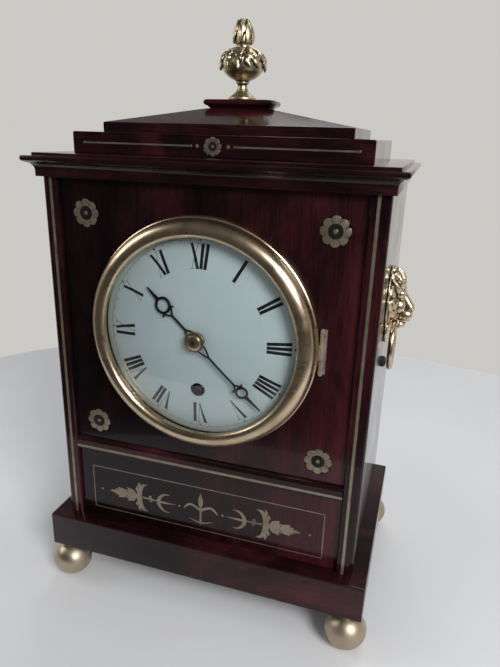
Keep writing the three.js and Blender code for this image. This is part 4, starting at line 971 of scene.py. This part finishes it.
def shoulder_leaves(shape, at, rng):
    """Three rows of overlapping leaves down to the widest part, with ragged tips."""
    for count, turn, start, bend, tip in SHOULDER:
        for i in range(count):
            angle = 2 * pi * (i + turn + rng.uniform(-0.12, 0.12)) / count
            droop = rng.uniform(-0.012, 0.012)
            for t in shares(10):
                share, radius = bent(t, start, bend, (tip[0] + droop, tip[1]))
                width = 0.7 + 2.6 * sin(pi * min(0.15 + 0.8 * t, 1)) ** 0.8
                place = at(radius, angle + 0.05 * sin(2.5 * pi * t), share)
                for radii in ((0.8, width, 1.5), (1.3, 0.6, 1.5)):
                    lump(shape, place, radii, (0, 30, degrees(angle)), 6)


# Whorls of the bud: count, turn in leaves, shares of the height of foot and tip, radii of foot and tip
WHORLS = (
    (7, 0, 0.700, 0.890, 7.9, 6.2),
    (6, 0.5, 0.760, 0.960, 7.0, 4.2),
    (4, 0.2, 0.860, 0.976, 4.2, 1.8),
)


def bud_leaves(shape, at):
    """Whorls of upright leaves with ribs, closed to a blunt point."""
    widest = WHORLS[0][4]
    for count, turn, low, high, base, top in WHORLS:
        for i in range(count):
            angle = 2 * pi * (i + turn) / count
            for t in shares(18):
                radius = base + (top - base) * t**1.7 + 0.7 * sin(pi * t)
                bend = angle + 0.16 * sin(pi * t)
                width = 2.7 * sin(pi * (0.16 + 0.74 * t)) * (base / widest) ** 0.3
                place = at(radius, bend, low + (high - low) * t)
                for radii in ((0.9, width, 1.2), (1.5, 0.5, 1.2)):
                    lump(shape, place, radii, (0, 0, degrees(bend)), 6)


# ---- dial, bezel and glass


def bezel():
    """A turned ring: flange, one broad ovolo with its crown near the glass, and a short drop inside."""
    radius = extent("bezel")[1].x
    crown, front = 89.2, -13.7
    spring, inner = -3.3, -9.9
    flange, lip = 1.2, -8.7
    seat, back, rebate = 91, 3.7, 87.9
    profile = [(seat, back), (radius, back), (radius, -2.2)]
    profile += [(radius - 0.2, -2.7), (radius - 0.6, -3.0), (radius - 1.0, spring)]
    profile += arc((crown, spring), (radius - flange - crown, spring - front), 0, -90, 30)
    profile += arc((crown, inner), (crown - SIGHT_RADIUS, inner - front), -98, -180, 12)
    profile += [(SIGHT_RADIUS, lip), (rebate, lip), (rebate, -3), (seat, -3)]
    shape = turned(profile, DIAL, segments=180)
    dressed(shape.object("bezel_ring", 28), CASE_BRASS, "bezel", ["bezel"])


def bezel_glass():
    """A domed pane with a flat rim."""
    seat, rim, rise, thickness = -8.55, 84.5, 14, 1.6

    def dome(shift, radius):
        return (radius, seat + shift - rise * (1 - (radius / rim) ** 2))

    steps = [rim * i / 24 for i in range(25)]
    profile = [dome(0, r) for r in steps]
    profile += [(87.6, seat), (87.6, seat + thickness)]
    profile += [dome(thickness, r) for r in reversed(steps)]
    shape = turned(profile, DIAL, segments=128)
    dressed(shape.object("domed_glass", 60), GLASS, "bezel", ["bezel_glass"])


def dial():
    """A convex white dial, pierced for the hands and for the winding key."""
    thickness, skirt = 1.6, 3.9
    face = [(r, on_dial(r, 0)) for r in ((DIAL_RADIUS - 1) * i / 32 for i in range(33))]
    back = [(r, y + thickness) for r, y in reversed(face[:-1])]
    edge = face[-1][1]
    rim = [(DIAL_RADIUS - 0.3, edge + 0.25), (DIAL_RADIUS, edge + 0.8), (DIAL_RADIUS, skirt)]
    rim += [(DIAL_RADIUS - thickness, skirt), (DIAL_RADIUS - thickness, 2.2)]
    piece = turned(face + rim + back, DIAL, segments=144).object("dial_face", 50)
    winding = DIAL - Vector((0, 0, WINDING_DROP))
    holes = []
    for centre, radius in ((DIAL, 5), (winding, WINDING_HOLE)):
        tool = turned([(0, -30), (radius, -30), (radius, 10), (0, 10)], centre, segments=48)
        holes.append(tool.object("hole_tool"))
    carve(piece, *holes)
    smooth(piece.data, 40)
    dressed(piece, ENAMEL, "case", ["dial"])
    # The collar's section: out from the hole's edge, and back from the dial's face
    section = [(-0.9, 4.5), (-0.1, 4.5), (-0.1, 1.2), (0.9, 0.6), (0.9, -0.15), (0.2, -0.3), (-0.9, 0.3)]
    fall = on_dial(0, WINDING_DROP)
    collar = turned([(WINDING_HOLE + out, fall + y) for out, y in section], winding, segments=48)
    dressed(collar.object("winding_collar", 50), EBONY, "case")


NUMERALS = ["XII", "I", "II", "III", "IIII", "V", "VI", "VII", "VIII", "IX", "X", "XI"]
THICK = 2.75
THIN = 0.42
SERIF = 0.3
PRINT_PROUD = 0.045
PRINT_DEPTH = 0.12


# Each figure's width; its bold and its fine strokes as (across, up, across, up, end width), where up is 0
# at the foot and 1 at the head; and the (across, up) places of its serifs
GLYPHS = {
    "I": (3.9, [(0, 0, 0, 1, THICK)], [], [(0, 0), (0, 1)]),
    "V": (8.2, [(-2.7, 1, 0.7, 0, THICK * 0.25)], [(3.2, 1, 1.0, 0.02, THIN)], [(-2.7, 1), (3.2, 1)]),
    "X": (
        8.6,
        [(-2.7, 1, 2.7, 0, THICK)],
        [(2.9, 1, -2.9, 0, THIN)],
        [(-2.7, 1), (2.9, 1), (-2.9, 0), (2.7, 0)],
    ),
}
# Half the width of a serif
SERIF_REACH = 2.1


def dial_place(hour, across, up):
    """A place on the dial for a figure's point: its foot is towards the middle."""
    radius = NUMERAL_FOOT + (NUMERAL_TOP - NUMERAL_FOOT) * up
    angle = radians(30 * hour) + across / ((NUMERAL_FOOT + NUMERAL_TOP) / 2)
    return radius * sin(angle), radius * cos(angle)


def stroke(shape, hour, ends, width, end_width, steps=6):
    a0, u0, a1, u1 = ends
    path, widths = [], []
    for t in shares(steps):
        path.append(dial_place(hour, a0 + (a1 - a0) * t, u0 + (u1 - u0) * t))
        widths.append(width + (end_width - width) * t)
    ribbon(shape, path, widths, on_dial, PRINT_PROUD, PRINT_DEPTH, DIAL)


def numerals():
    """Roman figures with their feet towards the middle, bold strokes and faint hairlines apart."""
    bold, faint = Shape(), Shape()
    for hour, word in enumerate(NUMERALS):
        across = -sum(GLYPHS[glyph][0] for glyph in word) / 2
        for glyph in word:
            advance, thick, thin, serifs = GLYPHS[glyph]
            centre = across + advance / 2
            across += advance
            for shape, width, strokes in ((bold, THICK, thick), (faint, THIN, thin)):
                for a0, u0, a1, u1, end_width in strokes:
                    stroke(shape, hour, (centre + a0, u0, centre + a1, u1), width, end_width)
            for a, up in serifs:
                ends = (centre + a - SERIF_REACH, up, centre + a + SERIF_REACH, up)
                stroke(faint, hour, ends, SERIF, SERIF, 2)
    dressed(bold.object("numerals", 50), INK, "case")
    dressed(faint.object("numeral_hairlines", 50), FAINT_INK, "case")


def minute_track():
    """A fine circle with a dot for each minute inside it, bolder at the hours."""
    bold, faint = Shape(), Shape()
    ring = circle(MINUTE_CIRCLE, 180)
    ribbon(faint, ring, 0.28, on_dial, PRINT_PROUD, PRINT_DEPTH, DIAL, closed=True)
    for minute, (x, z) in enumerate(circle(MINUTE_DOTS, 60)):
        if minute % 5:
            disc(faint, x, z, 0.5, on_dial, PRINT_PROUD + 0.02, PRINT_DEPTH, DIAL, 8)
        else:
            disc(bold, x, z, 0.95, on_dial, PRINT_PROUD + 0.04, PRINT_DEPTH, DIAL, 12)
    dressed(bold.object("hour_dots", 50), INK, "case")
    dressed(faint.object("minute_circle", 50), FAINT_INK, "case")


# ---- hands


def hand(name, node, body, front, turn, sizes):
    """A pierced-ring hand: forked stem from the boss, ring with two lugs, and a tapered tip."""
    length, ring_at, ring_radius, ring_width, boss, bore = sizes
    shape = Shape()
    angle = radians(turn)

    def spun(x, z):
        return x * cos(angle) + z * sin(angle), z * cos(angle) - x * sin(angle)

    def surface(x, z):
        return front + HAND_THICKNESS + dial_fall(x, z)

    def forge(path, widths, bevel, closed=False):
        path = [spun(x, z) for x, z in path]
        ribbon(shape, path, widths, surface, HAND_THICKNESS, 0, DIAL, bevel, closed)

    def strip(*points):
        forge(*curve(points, 5), 0.22)

    def ring(radius, centre, width):
        forge(circle(radius, 48, centre), width, 0.25, True)

    fork = ring_at * 0.3
    ring((boss + bore) / 2, 0, boss - bore)
    for side in (-1, 1):
        foot = (side * boss * 0.76, boss * 0.35, 1.5)
        strip(foot, (side * boss * 0.44, fork * 0.62, 1.25), (0, fork + 0.8, 1.3))
        foot = (0, ring_at - ring_radius * 1.60, 1.3)
        bend = (side * ring_radius * 0.32, ring_at - ring_radius * 1.22, 1.2)
        strip(foot, bend, (side * ring_radius * 0.68, ring_at - ring_radius * 0.72, 1.4))
        x, z = side * ring_radius * 0.70, ring_at - ring_radius * 0.76
        lug = ((0, 1.5), (1.7, 1.5), (2.1, 1.9))
        strip(*((x + side * 0.72 * out, z - 0.69 * out, width) for out, width in lug))
    strip((0, fork, 1.9), (0, (fork + ring_at) / 2, 1.7), (0, ring_at - ring_radius * 1.5, 1.8))
    ring(ring_radius - ring_width / 2, ring_at, ring_width)
    start = ring_at + ring_radius - 0.7
    taper = ((0, 3.4), (0.35, 2.5), (0.8, 1.5))
    bends = [(0, start + (length - start) * share, width) for share, width in taper]
    strip(*bends, (0, length - 0.6, 1.0), (0, length, 0.5))
    dressed(shape.object(name, 30), BLUED, body, [node])


# Length; the ring's height, outer radius and width; the boss's outer radius and its bore
HOUR_SIZES = (60.6, 40.2, 7.4, 2.2, 7.6, 4.4)
MINUTE_SIZES = (79.6, 57.5, 5.6, 1.9, 6.4, 3.1)


def hands():
    minute_turn = 360 * MINUTE / 60
    hour_turn = 360 * (HOUR + MINUTE / 60) / 12
    hand("hour_hand_forged", "hour_hand", "hour_work", HOUR_HAND_Y, hour_turn, HOUR_SIZES)
    hand("minute_hand_forged", "minute_hand", "minute_work", MINUTE_HAND_Y, minute_turn, MINUTE_SIZES)


def collet():
    """The stepped brass washer that keeps the minute hand on."""
    low, high = extent("hand_collet")
    radius = (high.x - low.x) / 2 + 0.6
    back = high.y - DIAL.y
    bore = 1.95
    drum = radius - 2.8
    steps = [(bore, 0), (radius, 0), (radius, 0.7), (radius - 0.2, 0.95), (drum + 0.2, 1.05), (drum, 1.2)]
    steps += [(drum, 3.0), (drum - 0.2, 3.4), (drum - 0.8, 3.7), (drum * 0.55, 3.95), (bore, 4.0)]
    shape = turned([(r, back - rise) for r, rise in steps], DIAL, segments=64)
    dressed(shape.object("domed_collet", 35), CASE_BRASS, "minute_work", ["hand_collet"])


# ---- hinge screws


def screw(shape, place, radius, rise=0.5, outwards=-1):
    """A slotted countersunk screw head: a low dome of two halves with the slot between them."""
    along_y, across, up = AXES["y"]
    slot = radius * 0.13
    for sign in (-1, 1):
        rows = []
        for level, share in ((0.4, 1), (rise, 0.92)):
            seat = Vector(place) + along_y * level * outwards
            edge = [(radius * cos(a), max(radius * sin(a), slot)) for a in arc_steps(180, 10)]
            rows.append([seat + (across * u + up * sign * v) * share for u, v in edge])
        loft(shape, rows)
    top, foot = outwards * 0.45, -outwards * 0.2
    lathe(shape, [(0, top), (radius, top), (radius, foot), (0, foot)], place, "y", 20)


def hinge_screws():
    edge = extent("case_hinge_leaf")[1].x
    shape = Shape()
    for height in (-13.5, 13.5):
        place = (edge - 1.7, PANEL_FACE - 0.65, middle("case_hinge_leaf").z + height)
        screw(shape, place, 1.15, 0.55)
    dressed(shape.object("hinge_screws", 30), STEEL, "case")


# ---- lion masks and rings

# Lumps of the lion's face, where x stands out from the flank, y runs back and z up from the middle:
# centre, radii and rows of those in the middle; centre, radii and turn of those to each side
FACE_MIDDLE = (
    ((0.8, 0, 0), (2.8, 26.0, 30.0), 18),
    ((3.5, 0, 2), (9.5, 16.5, 21.0), 16),
    ((7.0, 0, -7.0), (10.5, 9.0, 12.0), 14),
    ((20.6, 0, -6.4), (2.7, 4.4, 2.6), 10),
    ((14.2, 0, -17.2), (6.6, 5.4, 2.6), 10),
    ((11.8, 0, -21.6), (5.6, 6.2, 4.0), 10),
)
FACE_SIDE = (
    ((10.8, 5.4, 7.0), (4.0, 5.6, 3.2), (14, 0, -10)),
    ((11.2, 7.0, 2.4), (2.6, 3.2, 1.7), (10, 0, 0)),
    ((9.4, 8.6, -3.0), (6.0, 5.6, 6.6), (12, 0, 0)),
    ((15.6, 3.9, -11.6), (6.8, 5.0, 5.4), (8, 0, 0)),
    ((20.6, 2.6, -7.0), (2.2, 2.0, 1.7), (0, 0, 0)),
    ((10.4, 12.4, 8.2), (4.0, 3.4, 4.0), (-24, 0, 0)),
)


def lion_lumps(shape, rng):
    """A lion's face in relief, with its forelock, beard and mane."""
    for centre, radii, rows in FACE_MIDDLE:
        lump(shape, centre, radii, rows=rows)
    for side in (-1, 1):
        for (x, y, z), radii, (roll, pitch, yaw) in FACE_SIDE:
            lump(shape, (x, side * y, z), radii, (side * roll, pitch, side * yaw))
        for whisker in range(3):
            place = (19.0 - whisker * 0.5, side * (4.6 + whisker * 1.3), -9.4 - whisker * 2.4)
            lump(shape, place, (1.4, 1.8, 0.8), (side * 20, 0, side * -25), 6)
    for t in shares(10):
        lump(shape, (9.6 + 9.2 * t, 0, 8.0 - 13.5 * t), (4.6, 4.4 + 0.5 * t, 4.2), (0, 30, 0))
    forelock(shape)
    beard(shape)
    mane(shape, rng)


# Locks of the beard: across, sideways bow and how far the tip hangs below the middle
BEARD = ((-9.5, -2.0, 34.5), (-5.0, -1.0, 37.0), (0, 0.6, 38.2), (5.0, 1.0, 37.0), (9.5, 2.0, 34.5))
BEARD_TOP = 22


def beard(shape):
    """Flat locks that hang below the ring's bearing."""
    for across, lean, drop in BEARD:
        for t in shares(10):
            place = (1.2, across + lean * sin(pi * t), -BEARD_TOP - (drop - BEARD_TOP) * t)
            size = 3.2 * (1 - 0.55 * t**1.5)
            lump(shape, place, (2.3 - 0.6 * t, size, 2.2), rows=6)


# Tufts of one side of the forelock: steps, start, bend, end and size
TUFTS = (
    (9, (10.0, 1.6, 9.0), (14.0, 4.0, 20.0), (6.0, 3.2, 27.0), 3.4),
    (9, (9.5, 6.4, 9.5), (12.4, 11.4, 18.4), (4.4, 11.6, 25.0), 3.2),
    (8, (9.0, 11.0, 7.0), (9.8, 17.0, 13.2), (3.4, 18.4, 20.4), 3.0),
)


def forelock(shape):
    """Tufts that rise over the brow and part in the middle."""
    for side in (-1, 1):
        for count, start, bend, end, size in TUFTS:
            for t in shares(count):
                x, y, z = bent(t, start, bend, end)
                radius = size * (0.75 + 0.45 * sin(pi * t)) * (1 - 0.35 * t)
                lump(shape, (x, side * y, z), [radius * 0.8] * 3, rows=6)


# Rows of the mane: count, start and length as shares of the mask, height, girth and turn in locks
MANE = ((14, 0.62, 0.34, 4.6, 4.4, 0.0), (11, 0.42, 0.34, 8.4, 4.6, 0.5))
MANE_HALF_WIDTH = 25.6
MANE_HALF_HEIGHT = 29.8


def mane(shape, rng):
    """Curling locks all round, in two rows; those beside the ring lie flat."""
    for count, reach, length, height, girth, turn in MANE:
        for i in range(count):
            angle = 2 * pi * (i + turn) / count
            curl = (0.15 if i % 2 else -0.15) + rng.uniform(-0.04, 0.04)
            for t in shares(9):
                bend = angle + curl * sin(pi * t * 1.2)
                share = reach + length * t
                y = MANE_HALF_WIDTH * share * cos(bend)
                z = MANE_HALF_HEIGHT * share * sin(bend)
                x = height * (1 - 0.62 * t)
                if z < -9 and abs(y) > 6 or z < -24:
                    x = min(x, 1.5)
                size = girth * (0.75 + 0.25 * sin(pi * t)) * (1 - 0.5 * t)
                lump(shape, (x, y, z), (min(2.4, x + 1.2), size, size), rows=6)


def lion_mask(side, sign):
    """One casting for both flanks, cut flat behind and bored for the ring's pivot."""
    low, high = extent("lion_mask_" + side)
    centre = (low + high) / 2
    flank = low.x if sign > 0 else high.x
    shape = Shape()
    lion_lumps(shape, random.Random(11))
    piece = shape.object("lion_" + side)
    melt(piece, 0.5, 3)
    clear = 60
    bore = [(0, -clear), (TUNNEL_RADIUS, -clear), (TUNNEL_RADIUS, clear), (0, clear)]
    tunnel = turned(bore, (PIVOT_OUT, 0, -PIVOT_DROP), segments=40)
    behind = Shape()
    square = [(-clear, -clear), (-clear, clear), (clear, clear), (clear, -clear)]
    loft(behind, [[(x, y, z) for y, z in square] for x in (-clear, 0)])
    carve(piece, tunnel.object("tunnel_tool"), behind.object("back_tool"))
    place = Matrix.Translation(Vector((flank, centre.y, centre.z)) * MM)
    piece.data.transform(place @ Matrix.Diagonal((sign, 1, 1, 1)))
    face_outwards(piece.data)
    smooth(piece.data, 60)
    dressed(piece, CAST_BRASS, "case", ["lion_mask_" + side])


def handle_ring(side):
    """A round wire ring."""
    body = "handle_ring_" + side
    low, high = extent(body)
    wire = (high.x - low.x) / 2
    mean = (high.z - low.z) / 2 - wire
    shape = turned(arc((mean, 0), wire, 0, 360, 24)[:-1], (low + high) / 2, "x")
    dressed(shape.object("loop_" + side), CASE_BRASS, body, ["handle_ring_" + side])


# ---- rear


def rear_knob():
    """A small turned knob on a round plate."""
    centre = middle("rear_door_knob")
    base = extent("rear_door_knob")[0].y
    profile = [(0, 0), (6.3, 0), (6.3, 0.7), (5.9, 1.2), (4.2, 1.5), (3.0, 2.2), (2.75, 3.0), (3.1, 4.0)]
    profile += [(4.6, 4.5)] + arc((3.4, 6.5), (3.6, 2.0), -60, 60, 12) + [(3.0, 8.5), (0, 8.6)]
    shape = turned(profile, (centre.x, base, centre.z), segments=48)
    dressed(shape.object("turned_knob"), CASE_BRASS, "rear_door", ["rear_door_knob"])


def pendulum():
    """Suspension spring, rod, polished bob with a turned border, and a knurled rating nut."""
    low, high = extent("pendulum")
    x, y, _ = (low + high) / 2
    bottom, top = low.z, high.z
    lens = [(0, -4.9), (9, -4.6), (15, -3.6), (19.4, -2.0), (20.0, -2.1), (21.2, -1.7), (22.4, -0.9)]
    profile = lens + [(23, 0)] + [(r, -d) for r, d in reversed(lens)]
    shape = turned(profile, (x, y, bottom + 35))
    rod_top = top - 15.2
    lathe(shape, [(0, bottom), (1.6, bottom), (1.6, rod_top), (0, rod_top)], (x, y, 0), "z", 24)
    nut_foot, nut_height = bottom + 5, 4.5
    knurl = [(5.0 if i % 2 else 4.75, nut_foot + nut_height * i / 8) for i in range(9)]
    lathe(shape, [(0, nut_foot)] + knurl + [(0, nut_foot + nut_height)], (x, y, 0), "z", 40)
    # The block on the rod and the spring over it: drops of foot and head, half width, half depth, chamfer
    for foot, head, half, deep, chamfer in ((19.1, 13.2, 3.6, 2, 0.4), (14.2, 0, 3.0, 0.25, 0.1)):
        moulding(shape, [(top - drop, half, y - deep, y + deep) for drop in (foot, head)], chamfer)
    bob = shape.object("pendulum_bob_and_rod", 30)
    dressed(bob, CASE_BRASS, "pendulum", ["pendulum"])


def plate_screws():
    """Blued screws that hold the back plate to its pillars."""
    low, high = extent("back_plate")
    shape = Shape()
    inset = 8
    for x in (low.x + inset, high.x - inset):
        for z in (low.z + inset, high.z - inset):
            screw(shape, (x, high.y - 0.2, z), 3.0, 1.2, 1)
    dressed(shape.object("plate_screws", 30), BLUED, "case")


def rear_hinge_screws():
    shape = Shape()
    for node in ("rear_hinge_lower", "rear_hinge_upper"):
        low, high = extent(node)
        for rise in (-9, 9):
            screw(shape, (low.x + 4.2, high.y - 4.55, middle(node).z + rise), 1.4, 0.5, 1)
    dressed(shape.object("rear_hinge_screws", 30), STEEL, "case")


# ---- CAD nodes that stay


KEPT = (
    (WOOD_Z, 0.35, ["side_board_left", "side_board_right", "corner_stile_left", "corner_stile_right"]),
    (WOOD_X, 0.3, ["front_rail"]),
    (WOOD_PANEL, 0.25, ["dial_panel", "lower_panel"]),
    (WOOD_ROUND, 0.5, ["frieze_block", "pyramid_top"]),
    (WOOD_Z, 0.6, ["rear_door_frame"]),
    (INLAY, 0.0, ["stile_stringing_left", "stile_stringing_right", "rail_stringing"]),
    (HINGE_BRASS, 0.15, ["case_hinge_leaf", "bezel_hinge_leaf"]),
    (WORN_BRASS, 0.15, ["rear_hinge_lower", "rear_hinge_upper"]),
    (IRON, 0.0, ["buffer_stud_left", "buffer_stud_right"]),
    (MOVEMENT_BRASS, 0.2, ["front_plate", "back_plate", "back_cock"]),
    (STEEL, 0.15, ["pallets_and_crutch"]),
    (SECONDARY, 0.4, ["seatboard"]),
    (GUT, 0.0, ["gut_line"]),
    (GLASS, 0.0, ["rear_door_glass"]),
)


# Radius of each wheel's steel arbor
TRAIN = {
    "spring_barrel": 3,
    "fusee": 3,
    "great_wheel": 3,
    "centre_wheel": 1.6,
    "third_wheel": 1.1,
    "escape_wheel": 1.1,
    "cannon_wheel": 1.6,
    "minute_wheel": 1.6,
    "hour_wheel": 1.6,
}


def finish_kept_nodes():
    for finish, bevel, nodes in KEPT:
        for node in nodes:
            finish_node(node, finish, bevel)
    for node, arbor_radius in TRAIN.items():
        finish_node(node, wheel_brass(node, arbor_radius))


# ---- camera and studio


def camera():
    lens = bpy.data.cameras.new("photo_camera")
    lens.lens = CAMERA_LENS
    lens.sensor_width = 36
    lens.shift_x, lens.shift_y = CAMERA_SHIFT
    lens.clip_start = 0.01
    lens.clip_end = 50
    made = placed("photo_camera", lens)
    made.location = Vector(CAMERA_PLACE) * MM
    made.rotation_euler = [radians(a) for a in CAMERA_TURN]
    bpy.context.scene.camera = made


def softbox(name, place, aim, size, power, tint=(1, 1, 1)):
    light = bpy.data.lights.new(name, "AREA")
    light.shape = "RECTANGLE"
    light.size, light.size_y = size
    light.energy = power
    light.color = tint
    made = placed(name, light)
    made.location = place
    made.rotation_euler = (Vector(aim) - Vector(place)).to_track_quat("-Z", "Y").to_euler()


def studio():
    """A pale oval table, a pale surround behind the clock that is dim in front of it, and soft lamps."""
    sides = 96
    centre, half = (50, 150), (750, 550)
    edge = [(centre[0] + half[0] * cos(a), centre[1] + half[1] * sin(a), 0) for a in turns(sides)]
    table = Shape()
    table.add(edge, [list(range(sides))])
    floor = table.object("floor")
    floor.data.materials.append(studio_floor())

    world = bpy.data.worlds.new("studio")
    world.use_nodes = True
    tree = world.node_tree
    tree.nodes.clear()
    direction = put(tree, "SeparateXYZ", Vector=put(tree, "TexCoord").outputs["Generated"])
    behind = put(tree, "MapRange", Value=direction.outputs["Y"], From_Min=-0.25, From_Max=0.30).outputs[0]
    level = put(tree, "MapRange", Value=direction.outputs["Z"], From_Min=0.75, From_Max=0.15).outputs[0]
    path = put(tree, "LightPath")
    seen = math_node(tree, "MAXIMUM", path.outputs["Is Camera Ray"], path.outputs["Is Transmission Ray"])
    mirrored = math_node(tree, "MULTIPLY", behind, level)
    dimmed = mix(tree, mirrored, (0.045, 0.043, 0.042), (0.62, 0.60, 0.57))
    pale = mix(tree, path.outputs["Is Glossy Ray"], (0.36, 0.36, 0.37), dimmed)
    color = mix(tree, seen, pale, (0.60, 0.585, 0.56))
    back = put(tree, "Background", Color=color, Strength=1.0)
    out = put(tree, "OutputWorld")
    tree.links.new(back.outputs[0], out.inputs["Surface"])
    bpy.context.scene.world = world

    aim = (0, 0, 0.25)
    softbox("key", (1.25, -1.25, 1.25), aim, (0.7, 0.7), 36)
    softbox("fill", (-1.9, -0.5, 1.2), aim, (1.0, 1.0), 9)
    softbox("top", (0.1, 0.9, 1.7), aim, (1.2, 0.8), 10)
    bpy.context.scene.view_settings.view_transform = "Standard"


# ---- the scene


def build():
    camera()
    studio()
    finish_kept_nodes()
    plinth()
    cornice()
    cap_plate()
    crack()
    for place in ("upper_left", "upper_right", "lower_left", "lower_right"):
        rosette("flower_" + place, "rosette_" + place, PANEL_FACE)
    rosette("flower_frieze", "rosette_frieze", FRIEZE_FACE)
    panel_ornament()
    panel_border()
    frieze_inlay()
    for place in ("front_left", "front_right", "rear_left", "rear_right"):
        ball_foot(place)
    finial()
    bezel()
    bezel_glass()
    dial()
    numerals()
    minute_track()
    hands()
    collet()
    hinge_screws()
    for side, sign in (("left", -1), ("right", 1)):
        lion_mask(side, sign)
        handle_ring(side)
    rear_knob()
    pendulum()
    rear_hinge_screws()
    plate_screws()


build()
bpy.context.view_layer.update()
